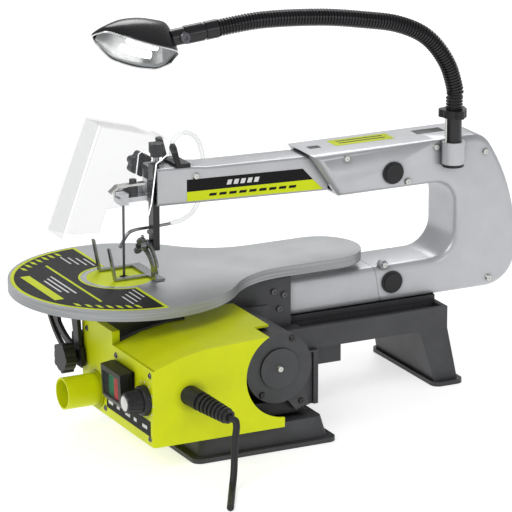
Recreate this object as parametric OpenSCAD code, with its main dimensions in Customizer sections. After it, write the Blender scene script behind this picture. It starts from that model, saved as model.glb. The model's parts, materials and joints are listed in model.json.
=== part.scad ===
// Parallel-arm scroll saw with a tilting table, side motor, blade guard and lamp.
// X runs to the operator's right, Y to the rear, Z up.
// The blade stands on X = 0, Y = 0 and the floor is Z = 0.

/* [Overall] */
// Distance from the blade to the back of the throat
throat_depth = 405; // [395:1:415]
// Height of the table top above the floor
table_height = 162; // [158:1:168]

/* [Table] */
// Radius of the round front of the table
table_radius = 130; // [124:1:134]
// Half width of the table's tail
tail_half_width = 47; // [44:1:50]
// Distance from the blade to the end of the tail
table_tail = 294; // [285:1:296]
// Depth of the table's rim
table_rim = 12; // [10:0.5:12]
// Radius of the throat insert
insert_radius = 43; // [40:1:44]

/* [Frame] */
// Half width of the cast frame
frame_half_width = 35; // [35:1:38]
// Wall thickness of the castings
wall = 3.5; // [3:0.5:4]
// Half width of the upper arm housing
nose_half_width = 20; // [20:0.5:21]

/* [Saw arms] */
// Distance from the blade to the arm pivots
pivot_y = 322; // [318:1:326]
// Height of the upper pivot above the table top
upper_pivot_rise = 88.5; // [86:0.5:90]
// Length between the two pivots, equal to the blade's working length
arm_spacing = 130; // [129:0.5:131]
// Distance from the blade to the rear tension rod
rear_rod_y = 440; // [436:1:442]
// Throw of the motor's eccentric
crank_throw = 5; // [4:0.5:5.5]

/* [Base] */
// Half width of the bridge beam
beam_half_width = 60; // [58:1:62]
// Height of the bridge beam's rim
beam_top = 90; // [88:1:91]
// Height of the front foot
foot_height = 27; // [24:1:27]
// Bench bolt hole radius
bolt_hole_r = 3.5; // [3:0.5:4]

/* [Motor] */
// Radius of the motor
motor_r = 40; // [38:0.5:40]
// Distance of the motor axis behind the blade
motor_y = 108; // [107:0.5:109]
// Drop of the motor axis below the table top
motor_drop = 74; // [73:0.5:75]

/* [Hidden] */
$fn = 64;
eps = 0.1;
cut = 1;            // how far a cutting tool runs past a face
run_gap = 0.06;     // radial clearance of a running fit
zt = table_height;

// Castings
frame_top = zt + 120;
frame_bottom = zt - 65;
throat_top = zt + 68;
throat_floor = zt - 22;
lower_front_y = 188;
part_line_y = 300;
nose_y = 33;
arm_bottom = zt + 81;
nose_top = zt + 124;
cover_rear_y = 246;
cover_wall = 2.5;
floor_lug = [312, zt - 20];

// Arms
upper_pivot_z = zt + upper_pivot_rise;
lower_pivot_z = upper_pivot_z - arm_spacing;
clamp_rise = 4;
upper_pin_z = upper_pivot_z + clamp_rise;
lower_pin_z = lower_pivot_z + clamp_rise;
pivot_bolt_r = 4;
link_pin_r = 3;
upper_arm_x = [-13, -1];
lower_arm_x = [-6, 6];

// Motor side
motor_z = zt - motor_drop;
motor_x = [62, 164];
motor_end_x = 170;
crank_pin_y = motor_y + crank_throw;
rod_x = [6.6, 11.6];
shaft_r = 4;
housing_x = [11, 190];
housing_y = [-52, 105];
housing_wall = 2.5;
tower_x = 87;
tower_back = -46;
tower_top = zt - 32;
panel_y = -55;
panel_bottom = foot_height + 2;
port_x = 45;
port_z = 52;
port_r = 18;
knob_x = 172;
knob_z = 77;
switch_x = [96, 142];
switch_z = [58, 97];

// Hold-down, guard and lamp
post_x = [2, 14];
post_y = [30, 38];
sector_bolt = [8, 36];
sector_r = norm(sector_bolt);
guard_pin = [53, zt + 147];
guard_half_width = 23.5;
guard_sheet = 2;
lamp_x = 43;
lamp_y = 396;
bevel_r = 84;

silver = [0.74, 0.75, 0.76];
lime = [0.80, 0.86, 0.10];
charcoal = [0.26, 0.26, 0.27];
black = [0.08, 0.08, 0.09];
steel = [0.66, 0.67, 0.68];

// ---- Helpers ----

function arc(c, r, a0, a1, n = 12) =
    [for (i = [0:n]) let (a = a0 + (a1 - a0) * i / n) [c[0] + r * cos(a), c[1] + r * sin(a)]];
function unit(v) = v / norm(v);
function spline_point(p, i, t) =
    let (a = p[max(i - 1, 0)], b = p[i], c = p[i + 1], d = p[min(i + 2, len(p) - 1)])
    0.5 * (2 * b + (c - a) * t + (2 * a - 5 * b + 4 * c - d) * t * t
        + (3 * b - 3 * c + d - a) * t * t * t);
function spline(p, n) =
    [for (i = [0:len(p) - 2], j = [0:n - (i < len(p) - 2 ? 1 : 0)]) spline_point(p, i, j / n)];

// A cylinder along X, Y or Z between two stations
module rod_along_x(r, x, y, z) {
    translate([x[0], y, z]) rotate([0, 90, 0]) cylinder(r = r, h = x[1] - x[0]);
}
module rod_along_y(r, y, x, z) {
    translate([x, y[0], z]) rotate([-90, 0, 0]) cylinder(r = r, h = y[1] - y[0]);
}
module rod_along_z(r, z, x, y) {
    translate([x, y, z[0]]) cylinder(r = r, h = z[1] - z[0]);
}
// A side outline drawn in (Y, Z), given thickness along X
module slab_x(x) {
    translate([x[0], 0, 0]) rotate([90, 0, 90]) linear_extrude(x[1] - x[0]) children();
}
// A front outline drawn in (X, Z), given thickness along Y
module slab_y(y) {
    translate([0, y[1], 0]) rotate([90, 0, 0]) linear_extrude(y[1] - y[0]) children();
}
module block(x, y, z) {
    translate([x[0], y[0], z[0]]) cube([x[1] - x[0], y[1] - y[0], z[1] - z[0]]);
}
// A round tube swept along a list of points; side is never parallel to the path
module sweep(path, r, side, sides = 12) {
    last = len(path) - 1;
    ring = [for (i = [0:last]) let (
        t = unit(path[min(i + 1, last)] - path[max(i - 1, 0)]),
        u = unit(cross(t, side)),
        v = cross(t, u)
    ) for (k = [0:sides - 1]) path[i] + r * (cos(360 * k / sides) * u + sin(360 * k / sides) * v)];
    skin = [for (i = [0:last - 1], k = [0:sides - 1]) let (k1 = (k + 1) % sides)
        [i * sides + k, i * sides + k1, (i + 1) * sides + k1, (i + 1) * sides + k]];
    lids = [[for (k = [sides - 1:-1:0]) k], [for (k = [0:sides - 1]) last * sides + k]];
    polyhedron(points = ring, faces = [for (f = concat(skin, lids)) [for (j = [len(f) - 1:-1:0]) f[j]]]);
}
// A round knob with finger lobes, standing on Z = 0
module lobed_knob(r, h, lobes, lobe_r) {
    cylinder(r = r - lobe_r * 0.6, h = h);
    for (i = [0:lobes - 1])
        rotate([0, 0, i * 360 / lobes]) translate([r - lobe_r, 0, 0]) cylinder(r = lobe_r, h = h);
}

// ---- Base ----

module foot_block(x, y, h, draft) {
    hull() {
        for (i = [0, 1], j = [0, 1])
            translate([x[i] + (i == 0 ? 8 : -8), y[j] + (j == 0 ? 8 : -8), 0])
                cylinder(r = 8, h = 0.5, $fn = 32);
        for (i = [0, 1], j = [0, 1])
            translate([x[i] + (i == 0 ? 8 + draft : -8 - draft),
                       y[j] + (j == 0 ? 8 + draft : -8 - draft), h - 0.5])
                cylinder(r = 8, h = 0.5, $fn = 32);
    }
}
module foot_flange(x, y) {
    for (i = [0, 1], j = [0, 1])
        rod_along_z(10, [0, 5], x[i] + (i == 0 ? 10 : -10), y[j] + (j == 0 ? 10 : -10));
    block([x[0] + 10, x[1] - 10], y, [0, 5]);
    block(x, [y[0] + 10, y[1] - 10], [0, 5]);
}
module base() {
    foot_front = [-4, 171];
    bolt_x = 55;
    bolt_y = [20, 374];
    color(charcoal) difference() {
        union() {
            foot_flange([-90, 190], foot_front);
            foot_block([-82, 182], [4, 165], foot_height, 6);
            foot_flange([-78, 78], [356, 396]);
            block([-66, 66], [150, 211], [0, beam_top - 26 + eps]);
            block([-beam_half_width, beam_half_width], [150, 382], [beam_top - 26, beam_top]);
            block([-33, 33], [189, 380], [beam_top - eps, frame_bottom]);
            block([-30, 30], [195, 259], [33, beam_top - 20]);
            hull() {
                block([-beam_half_width, beam_half_width], [346, 382], [beam_top - 27, beam_top - 26]);
                block([-70, 70], [360, 390], [4, 5]);
            }
        }
        // tray around the pad, hollow beam and hollow feet
        for (side = [-1, 1])
            translate([side * 46, 0, 0]) block([-9, 9], [195, 376], [beam_top - 5, beam_top + cut]);
        block([-54, 54], [219, 340], [-cut, 33]);
        block([-54, -34], [219, 340], [-cut, beam_top - 10]);
        block([34, 54], [219, 340], [-cut, beam_top - 10]);
        block([-54, 54], [158, 203], [-cut, beam_top - 12]);
        block([-70, 170], [14, 150], [5, foot_height - 4]);
        block([-70, 170], [28, 146], [-cut, foot_height - 4]);
        block([-60, 60], [366, 380], [5, beam_top - 30]);
        // grooves down the front leg
        for (side = [-1, 1])
            translate([side * 66, 0, 0]) block([-2.5, 2.5], [199, 205], [-cut, beam_top - 28]);
        for (side = [-1, 1], y = bolt_y) rod_along_z(bolt_hole_r, [-cut, 8], side * bolt_x, y);
    }
}
base();

// ---- Cast frame ----

// Side outline of the C-shaped frame; d insets it and reach runs its open ends forward
module frame_outline(d, reach) {
    upper_c = [428, frame_top - 28];
    lower_c = [throat_depth + 43, frame_bottom + 40];
    back_c = [throat_depth - 137, frame_bottom + 51];
    back_r = 220;
    a_up = atan2(upper_c[1] - back_c[1], upper_c[0] - back_c[0]);
    a_low = atan2(lower_c[1] - back_c[1], lower_c[0] - back_c[0]);
    polygon(concat(
        [[219 - reach, frame_top - d]],
        arc(upper_c, 28 - d, 90, a_up, 8),
        arc(back_c, back_r - d, a_up - 2, a_low + 2, 10),
        arc(lower_c, 40 - d, a_low, -90, 10),
        [[part_line_y + 7 - reach, frame_bottom + d], [part_line_y - reach, throat_floor - d]],
        arc([throat_depth - 32, throat_floor + 32], 32 + d, -90, 0, 10),
        arc([throat_depth - 26, throat_top - 26], 26 + d, 0, 90, 10),
        [[255 - reach, throat_top + d]]
    ));
}
// One half of the frame; side is 1 for the right half and -1 for the left half
module frame_half(side) {
    w = frame_half_width;
    x = side > 0 ? [0, w] : [-w, 0];
    inner = side > 0 ? [-cut, w - wall] : [wall - w, cut];
    upper_boss = side > 0 ? [0, w - wall + eps] : [wall - w - eps, upper_arm_x[0] - 0.5];
    lower_boss = side > 0 ? [lower_arm_x[1] + 0.5, w - wall + eps]
        : [wall - w - eps, lower_arm_x[0] - 0.5];
    difference() {
        union() {
            difference() {
                slab_x(x) frame_outline(0, 0);
                slab_x(inner) frame_outline(wall, 40);
            }
            // slanted front wall beside the arm housing
            slab_x(side > 0 ? [nose_half_width + 0.2, w - 1] : [1 - w, -nose_half_width - 0.2])
                polygon([[219, frame_top], [223.5, frame_top], [259.5, throat_top], [255, throat_top]]);
            rod_along_x(9, upper_boss, pivot_y, upper_pivot_z);
            rod_along_x(9, lower_boss, pivot_y, lower_pivot_z);
            // wall closing the left half's open end above the sloped cover
            if (side < 0) slab_x([1 - w, -7]) polygon([[part_line_y + 4, zt - 46],
                [part_line_y, throat_floor], [part_line_y + 3, throat_floor], [part_line_y + 7, zt - 46]]);
            if (side > 0) rod_along_x(5.2, [w - 8, w - 0.5], floor_lug[0], floor_lug[1]);
            if (side > 0) difference() {
                rod_along_z(13.4, [frame_top - 27, frame_top - 1], lamp_x, lamp_y);
                block([0, w - wall / 2], [lamp_y - 20, lamp_y + 20], [frame_top - 30, frame_top]);
            }
        }
        for (z = [upper_pivot_z, lower_pivot_z]) {
            rod_along_x(pivot_bolt_r + 0.1, [-w - cut, w + cut], pivot_y, z);
            rod_along_x(8.2, side > 0 ? [w - 4, w + cut] : [-w - cut, 4 - w], pivot_y, z);
        }
        if (side > 0) rod_along_z(6.1, [frame_top - 22, frame_top + cut], lamp_x + 1, lamp_y);
    }
}
module frame_shell_right() { color(silver) frame_half(1); }
module frame_shell_left() { color(silver) frame_half(-1); }
frame_shell_right();
frame_shell_left();

// Side outline of the upper arm housing; d insets it at top and bottom
module arm_cover_outline(d) {
    polygon([
        [nose_y, arm_bottom + d], [nose_y, nose_top - d], [72, nose_top - 1.5 - d],
        [96, nose_top - 4.5 - d], [cover_rear_y - 22, frame_top - wall - 0.5 - d],
        [cover_rear_y, frame_top - wall - 0.5 - d], [cover_rear_y, zt + 73 + d]
    ]);
}
module arm_cover(side) {
    w = nose_half_width;
    color(silver) difference() {
        slab_x(side > 0 ? [0, w] : [-w, 0]) arm_cover_outline(0);
        slab_x(side > 0 ? [-cut, w - cover_wall] : [cover_wall - w, cut]) {
            arm_cover_outline(cover_wall);
            // open nose and open back
            polygon([[nose_y - cut, arm_bottom + cover_wall], [nose_y + 8, arm_bottom + cover_wall],
                     [nose_y + 8, nose_top - 2.4], [nose_y - cut, nose_top - 2.4]]);
            polygon([[cover_rear_y - 9, zt + 76], [cover_rear_y + cut, zt + 76],
                     [cover_rear_y + cut, frame_top - 6.5], [cover_rear_y - 9, frame_top - 6.5]]);
        }
        // openings for the post and for the tension knob's stem
        block([post_x[0] - 0.5, post_x[1] + 0.5], [nose_y - cut, post_y[1] + 0.5],
              [arm_bottom - cut, nose_top + cut]);
        rod_along_z(6, [nose_top - 6, nose_top + cut], -7, 44);
        if (side < 0) rod_along_x(2.6, [-w - cut, 3 - w + cut], 34, zt + 119);
    }
}
module arm_cover_right() { arm_cover(1); }
module arm_cover_left() { arm_cover(-1); }
arm_cover_right();
arm_cover_left();

// Front half of the lower arm's housing; the left one slopes so that the tilted table clears it
module lower_cover_right() {
    w = frame_half_width;
    color(silver) difference() {
        slab_x([0, w]) polygon([[lower_front_y, frame_bottom], [part_line_y + 6.8, frame_bottom],
            [part_line_y - 0.2, throat_floor], [lower_front_y, throat_floor]]);
        slab_x([-cut, w - wall]) polygon([[lower_front_y - cut, frame_bottom + wall],
            [part_line_y + 9, frame_bottom + wall], [part_line_y + 9, throat_floor - wall],
            [lower_front_y - cut, throat_floor - wall]]);
    }
}
module lower_cover_left() {
    w = frame_half_width;
    section = [[0, frame_bottom], [0, throat_floor], [-3, throat_floor], [-25, zt - 44], [-w, zt - 44],
               [-w, frame_bottom]];
    inside = [[cut, frame_bottom + wall], [cut, throat_floor - wall], [-2, throat_floor - wall],
              [-24, zt - 48], [wall - w, zt - 48], [wall - w, frame_bottom + wall]];
    color(silver) difference() {
        slab_y([lower_front_y, part_line_y + 6.8]) polygon(section);
        slab_y([lower_front_y - cut, part_line_y + 8]) polygon(inside);
        slab_x([-w - cut, cut]) polygon([[part_line_y + 6.8, frame_bottom - cut],
            [part_line_y + 9, frame_bottom - cut], [part_line_y + 9, throat_floor + cut],
            [part_line_y - 0.2, throat_floor + cut]]);
    }
}
lower_cover_right();
lower_cover_left();

// ---- Table bracket, caps, screws ----

module table_bracket() {
    tilt_clear = 21;
    color(charcoal) difference() {
        union() {
            // near side plate with its sloped lower edge
            slab_x([38, 44]) polygon([[105, zt - 31], [132, zt - 14], [187, zt - 14], [187, zt - 72],
                [146, zt - 62]]);
            block([-34, 44], [140, 187], [zt - 72, zt - 66]);
            block([-34, 44], [181, 187], [zt - 72, zt - 56]);
            block([-34, -29], [140, 187], [zt - 72, zt - 55]);
            // rear cradle for the table's trunnion
            difference() {
                block([-16, 44], [148, 156], [zt - 29, zt - 15]);
                rod_along_y(22.1, [147, 157], 0, zt);
            }
            // arm reaching forward to the bevel lock
            block([-20, -13.6], [-56, 187], [zt - 72, zt - 62]);
            block([-20, 6], [-56, -50], [zt - 98, zt - 62]);
        }
        slab_y([-60, 190]) polygon([[-60, zt + 20], [tilt_clear - 41, zt + 20], [-2, zt - tilt_clear - 2],
            [-60, zt - 60 - tilt_clear]]);
        rod_along_y(4.1, [-58, -48], 0, zt - bevel_r);
    }
}
table_bracket();

module pivot_caps() {
    color(black) for (side = [-1, 1], z = [upper_pivot_z, lower_pivot_z]) {
        w = frame_half_width;
        rod_along_x(13, side > 0 ? [w, w + 2] : [-w - 2, -w], pivot_y, z);
        rod_along_x(10.5, side > 0 ? [w + 2 - eps, w + 3] : [-w - 3, -w - 2 + eps], pivot_y, z);
    }
}
pivot_caps();

module pan_head(r, h) {
    difference() {
        cylinder(r1 = r, r2 = r * 0.7, h = h);
        for (a = [0, 90]) rotate([0, 0, a]) translate([-r * 0.45, -0.5, h - 0.9]) cube([r * 0.9, 1, 2]);
    }
}
module frame_screws() {
    spots = [[262, zt + 112.5], [378, zt + 112], [341, zt + 76], floor_lug, [443, zt + 99], [450, zt - 54]];
    color(steel) for (p = spots)
        translate([frame_half_width, p[0], p[1]]) rotate([0, 90, 0]) pan_head(4.2, 2.6);
    color(steel) translate([nose_half_width, 80, nose_top - 13]) rotate([0, 90, 0]) pan_head(4.2, 2.4);
}
frame_screws();

module pivot_bolts() {
    w = frame_half_width;
    color(steel) for (z = [upper_pivot_z, lower_pivot_z]) {
        rod_along_x(pivot_bolt_r, [4 - w, w - 4], pivot_y, z);
        rod_along_x(8, [w - 4, w - 0.5], pivot_y, z);
        rod_along_x(8, [0.5 - w, 4 - w], pivot_y, z);
    }
}
pivot_bolts();

// ---- Arms ----

module upper_arm() {
    color(steel) difference() {
        union() {
            slab_x(upper_arm_x) polygon([[nose_y - 3, zt + 91], [nose_y - 3, zt + 108.5],
                [120, zt + 108], [pivot_y, upper_pivot_z + 10], [rear_rod_y, upper_pivot_z + 8],
                [rear_rod_y + 9, upper_pivot_z], [rear_rod_y, upper_pivot_z - 8],
                [pivot_y, upper_pivot_z - 10]]);
            slab_x([upper_arm_x[0], -8]) polygon([[-6, zt + 88], [-6, zt + 98], [nose_y, zt + 103],
                [nose_y, zt + 91]]);
            rod_along_z(3.5, [zt + 107, zt + 140], -7, 44);
        }
        rod_along_x(pivot_bolt_r + run_gap, [-20, 5], pivot_y, upper_pivot_z);
        rod_along_x(link_pin_r + run_gap, [-20, 5], rear_rod_y, upper_pivot_z);
        rod_along_x(link_pin_r + run_gap, [-20, 5], 0, upper_pin_z);
    }
}
upper_arm();

module lower_arm() {
    color(steel) difference() {
        union() {
            slab_x(lower_arm_x) polygon([[13, lower_pivot_z - 7], [13, lower_pivot_z + 7],
                [pivot_y, lower_pivot_z + 8], [rear_rod_y, lower_pivot_z + 7],
                [rear_rod_y + 9, lower_pivot_z], [rear_rod_y, lower_pivot_z - 7],
                [pivot_y, lower_pivot_z - 8]]);
            slab_x([-12.5, -5]) polygon([[13, lower_pivot_z - 6], [13, lower_pivot_z + 7],
                [30, lower_pivot_z + 6], [30, lower_pivot_z - 6]]);
            slab_x([-12.5, -7.5]) polygon([[-6, lower_pivot_z - 2], [-6, lower_pivot_z + 9],
                [14, lower_pivot_z + 7], [14, lower_pivot_z - 6]]);
        }
        rod_along_x(pivot_bolt_r + run_gap, [-20, 20], pivot_y, lower_pivot_z);
        rod_along_x(link_pin_r + run_gap, [-20, 20], rear_rod_y, lower_pivot_z);
        rod_along_x(link_pin_r + run_gap, [-20, -7], 0, lower_pin_z);
        rod_along_x(link_pin_r + run_gap, [-20, 20], crank_pin_y, lower_pivot_z);
    }
}
lower_arm();

module tension_rod() {
    color(steel) {
        block(rod_x, [rear_rod_y - 7, rear_rod_y + 7], [lower_pivot_z - 9, upper_pivot_z + 9]);
        rod_along_x(link_pin_r, [upper_arm_x[0], rod_x[0] + 1], rear_rod_y, upper_pivot_z);
        rod_along_x(link_pin_r, [lower_arm_x[0], rod_x[0] + 1], rear_rod_y, lower_pivot_z);
    }
}
tension_rod();

// ---- Blade and clamps ----

blade_half_t = 0.25;
blade_half_w = 1.5;
module blade() {
    teeth = 46;
    pitch = 2;
    color([0.35, 0.36, 0.38]) difference() {
        block([-blade_half_t, blade_half_t], [-blade_half_w, blade_half_w],
              [lower_pin_z - 4, upper_pin_z - 2]);
        slab_x([-1, 1]) for (i = [0:teeth - 1]) let (z = zt - 16 + i * pitch)
            polygon([[-2, z - 0.4], [-0.9, z + 1.1], [-2, z + 1.3]]);
    }
}
blade();

module upper_clamp() {
    color(steel) difference() {
        union() {
            block([-7, 6], [-8, 27], [zt + 86.5, zt + 92]);
            block([-7, 6], [-6, 4], [zt + 84, zt + 97]);
            rod_along_x(link_pin_r, [upper_arm_x[0], -6.5], 0, upper_pin_z);
        }
        block([-blade_half_t, blade_half_t], [-blade_half_w, blade_half_w], [zt + 83, upper_pin_z - 2]);
        rod_along_z(2.55, [zt + 80, zt + 100], 0, 12);
    }
}
upper_clamp();

module lower_clamp() {
    color(steel) difference() {
        union() {
            block([-6.9, 6], [-6, 6], [lower_pin_z - 8, lower_pin_z + 7]);
            rod_along_x(link_pin_r, [-12.5, -6.5], 0, lower_pin_z);
            rod_along_x(4, [6 - eps, 9.8], -1, lower_pin_z);
        }
        block([-blade_half_t, blade_half_t], [-blade_half_w, blade_half_w],
              [lower_pin_z - 4, lower_pin_z + 8]);
    }
}
lower_clamp();

module clamp_screw() {
    color(black) {
        rod_along_z(5.5, [zt + 92.3, zt + 103.5], 0, 12);
        rod_along_z(2.5, [zt + 87, zt + 110], 0, 12);
        rod_along_z(4.2, [zt + 106.6, zt + 111], 0, 12);
    }
}
module clamp_lever() {
    color(steel) difference() {
        slab_x([-4, 4]) polygon([[-17, zt + 99.5], [-8, zt + 106.5], [26, zt + 106.5], [26, zt + 104],
            [-7, zt + 104], [-16, zt + 97.5]]);
        rod_along_z(2.5, [zt + 95, zt + 112], 0, 12);
    }
}
clamp_screw();
clamp_lever();

module tension_knob() {
    color(black) difference() {
        union() {
            translate([-7, 44, zt + 137]) lobed_knob(9, 10, 5, 3.6);
            rod_along_z(6.5, [zt + 131.8, zt + 138], -7, 44);
        }
        rod_along_z(3.5 + run_gap, [zt + 120, zt + 140.2], -7, 44);
    }
}
tension_knob();

// ---- Motor ----

module motor_can() {
    color(charcoal) difference() {
        rod_along_x(motor_r, motor_x, motor_y, motor_z);
        rod_along_x(motor_r - 2.5, [motor_x[0] + 3, motor_x[1] + cut], motor_y, motor_z);
        rod_along_x(11, [motor_x[0] - cut, motor_x[0] + 5], motor_y, motor_z);
    }
}
motor_can();

module motor_end_cover() {
    x0 = motor_x[1];
    color(charcoal) difference() {
        union() {
            rod_along_x(motor_r, [x0, motor_end_x], motor_y, motor_z);
            rod_along_x(23, [x0, motor_end_x + 2], motor_y, motor_z);
            slab_x([x0, x0 + 4]) polygon([[motor_y + 8, motor_z - 34], [motor_y + 30, motor_z - 24],
                [motor_y + 38, motor_z - 46], [motor_y + 22, motor_z - 52]]);
        }
        rod_along_x(11, [x0 - cut, x0 + 3.5], motor_y, motor_z);
    }
}
motor_end_cover();

module motor_rotor() {
    color(steel) {
        rod_along_x(shaft_r, [26, motor_x[1] + 3], motor_y, motor_z);
        rod_along_x(24, [84, 134], motor_y, motor_z);
    }
}
module motor_fan() {
    color(black) difference() {
        union() {
            rod_along_x(8, [141, 154], motor_y, motor_z);
            rod_along_x(30, [141, 143], motor_y, motor_z);
            for (i = [0:8]) translate([0, motor_y, motor_z]) rotate([i * 40, 0, 0])
                block([142, 153], [6, 29], [-0.8, 0.8]);
        }
        rod_along_x(shaft_r, [140, 156], motor_y, motor_z);
    }
}
module motor_bearings() {
    color(steel) for (x = [motor_x[0] - 1, motor_x[1] - 4]) difference() {
        rod_along_x(11, [x, x + 7], motor_y, motor_z);
        rod_along_x(shaft_r + run_gap, [x - cut, x + 8], motor_y, motor_z);
    }
}
module eccentric() {
    color(steel) {
        difference() {
            rod_along_x(12, [18, 30], motor_y, motor_z);
            rod_along_x(shaft_r, [26, 31], motor_y, motor_z);
        }
        rod_along_x(3.5, [rod_x[1] + 0.5, 18 + eps], crank_pin_y, motor_z);
    }
}
module connecting_rod() {
    color(steel) {
        difference() {
            union() {
                rod_along_x(9, rod_x, crank_pin_y, motor_z);
                rod_along_x(7, rod_x, crank_pin_y, lower_pivot_z);
                block(rod_x, [crank_pin_y - 4, crank_pin_y + 4], [motor_z + 6, lower_pivot_z - 4]);
            }
            rod_along_x(3.6, [0, 20], crank_pin_y, motor_z);
        }
        rod_along_x(link_pin_r, [lower_arm_x[0], rod_x[0] + 1], crank_pin_y, lower_pivot_z);
    }
}
module motor_bracket() {
    color(charcoal) difference() {
        union() {
            block([56.5, 61], [motor_y - 38, 149.5], [foot_height, motor_z + 36]);
            block([56.5, 90], [motor_y - 38, 149.5], [foot_height, foot_height + 4]);
        }
        rod_along_x(13, [50, 65], motor_y, motor_z);
    }
}
module motor_screws() {
    spots = [[16, 33], [-21, -28]];
    color(steel) {
        for (p = spots) translate([motor_end_x, motor_y + p[0], motor_z + p[1]])
            rotate([0, 90, 0]) pan_head(4, 2.2);
        translate([motor_end_x + 2, motor_y, motor_z]) rotate([0, 90, 0]) pan_head(4.2, 2.4);
        translate([motor_x[1] + 4, motor_y + 28, motor_z - 42]) rotate([0, 90, 0]) pan_head(3.6, 2.2);
    }
}
motor_rotor();
motor_fan();
motor_bearings();
eccentric();
connecting_rod();
motor_bracket();
motor_screws();

// ---- Motor housing ----

// Side outline of the housing, low at the front and level under the table; d insets it
module housing_outline(d) {
    polygon([[housing_y[0], foot_height + d], [housing_y[0], zt - 47 - d],
        [-20, zt - 37 - d], [10, zt - 31.5 - d], [80, zt - 29 - d],
        [housing_y[1], zt - 29 - d], [housing_y[1], foot_height + d]]);
}
module motor_housing() {
    t = housing_wall;
    color(lime) difference() {
        union() {
            slab_x(housing_x) housing_outline(0);
            block([housing_x[0], tower_x], [housing_y[0], tower_back], [zt - 60, tower_top]);
        }
        slab_x([housing_x[0] + t, housing_x[1] - t]) housing_outline(t);
        block([housing_x[0] + t, tower_x - t], [housing_y[0] - cut, tower_back - t],
              [zt - 65, tower_top - t]);
        // open front and back, cut away round the motor and the saw's lower arm
        block([housing_x[0] + t, housing_x[1] - t], [housing_y[0] - cut, -40], [foot_height + t, zt - 52]);
        block([housing_x[0] + t, housing_x[1] - t], [90, 110], [foot_height + t, zt - 29 - t]);
        rod_along_x(50, [150, 200], motor_y, motor_z);
        block([housing_x[0] - cut, 62], [58, 110], [foot_height - cut, zt]);
        block([60, 92], [66, 110], [foot_height - cut, foot_height + 5]);
        block([housing_x[0] - cut, housing_x[0] + 40], [40, 59], [zt - 60, zt]);
    }
}
motor_housing();

module front_panel() {
    color(lime) difference() {
        slab_y([panel_y, housing_y[0]]) polygon([[7, foot_height + 1], [190, foot_height + 1],
            [190, zt - 48], [tower_x, zt - 47], [tower_x, tower_top], [7, tower_top]]);
        rod_along_y(port_r + 0.1, [-60, -50], port_x, port_z);
        block([switch_x[0] + 2, switch_x[1] - 2], [-60, -50], [switch_z[0] + 2, switch_z[1] - 2]);
        rod_along_y(4, [-60, -50], knob_x, knob_z);
    }
}
front_panel();

module panel_screws() {
    spots = [[20, zt - 47], [97, zt - 56], [184, zt - 54], [68, 36], [184, 36]];
    color(charcoal) for (p = spots)
        translate([p[0], panel_y, p[1]]) rotate([90, 0, 0]) pan_head(3.4, 1.4);
}
panel_screws();

module dust_port() {
    color(lime) difference() {
        union() {
            rod_along_y(port_r, [-97, -57], port_x, port_z);
            rod_along_y(port_r + 2.5, [-57, -55.1], port_x, port_z);
            rod_along_y(port_r - 0.3, [-55.1, -51.9], port_x, port_z);
            rod_along_y(port_r + 4, [-51.9, -49.4], port_x, port_z);
        }
        rod_along_y(port_r - 2, [-99, -48], port_x, port_z);
    }
}
dust_port();

// ---- Controls ----

module switch_body() {
    color(black) difference() {
        union() {
            block(switch_x, [panel_y - 5, panel_y], switch_z);
            block([switch_x[0] + 3, switch_x[1] - 3], [panel_y - eps, -34],
                  [switch_z[0] + 3, switch_z[1] - 3]);
        }
        block([101, 117.5], [panel_y - 8, -44], [64, 91]);
        block([120.5, 137], [panel_y - 8, -44], [64, 91]);
    }
}
module push_button(x, proud) {
    block([x - 8, x + 8], [panel_y - 5 - proud, -48], [64.3, 90.7]);
}
module on_button() { color([0.10, 0.55, 0.30]) push_button(109.25, 6); }
module off_button() { color([0.75, 0.08, 0.08]) push_button(128.75, 8.5); }
// Hinged hood over the buttons with a window in front of them
module switch_cover() {
    hinge_y = panel_y - 3.5;
    low = switch_z[0];
    high = switch_z[1];
    color(black) {
        rod_along_x(2, [switch_x[0] + 1, switch_x[1] + 1], hinge_y, high + 2.1);
        difference() {
            slab_x([switch_x[0] - 1, switch_x[1] + 3]) polygon([[hinge_y, high + 1], [hinge_y, high + 4],
                [panel_y - 18, high + 2], [panel_y - 16, low + 6], [panel_y - 12, low],
                [panel_y - 7, low], [panel_y - 7, high + 2]]);
            slab_x([switch_x[0] + 1, switch_x[1] - 2]) polygon([[panel_y, high - 0.5],
                [panel_y - 16, high - 0.5], [panel_y - 14, low + 6], [panel_y - 10.5, low + 2],
                [panel_y, low + 2]]);
            block([switch_x[0] + 3, switch_x[1] - 4], [panel_y - 25, panel_y - 9], [low + 8, high - 4]);
        }
    }
}
switch_body();
on_button();
off_button();
switch_cover();

module speed_knob() {
    color(black) difference() {
        translate([knob_x, panel_y - 0.5, knob_z]) rotate([90, 0, 0]) union() {
            cylinder(r1 = 17, r2 = 16, h = 7);
            cylinder(r1 = 13, r2 = 11, h = 24);
            translate([0, 14, 6]) cube([2, 3, 3], center = true);
        }
        rod_along_y(3, [-66, -50], knob_x, knob_z);
    }
}
module speed_control() {
    color(steel) {
        rod_along_y(3 - run_gap, [-65.5, -46], knob_x, knob_z);
        rod_along_y(9, [-47, -37], knob_x, knob_z);
    }
}
module control_board() {
    color([0.08, 0.30, 0.18]) {
        block([88, 165], [-26, -24.4], [42, 104]);
        block([96, 120], [-30, -25.9], [60, 90]);
        rod_along_y(6, [-33.5, -25.9], 136, 60);
        rod_along_y(6, [-33.5, -25.9], 152, 60);
    }
}
speed_knob();
speed_control();
control_board();

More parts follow.
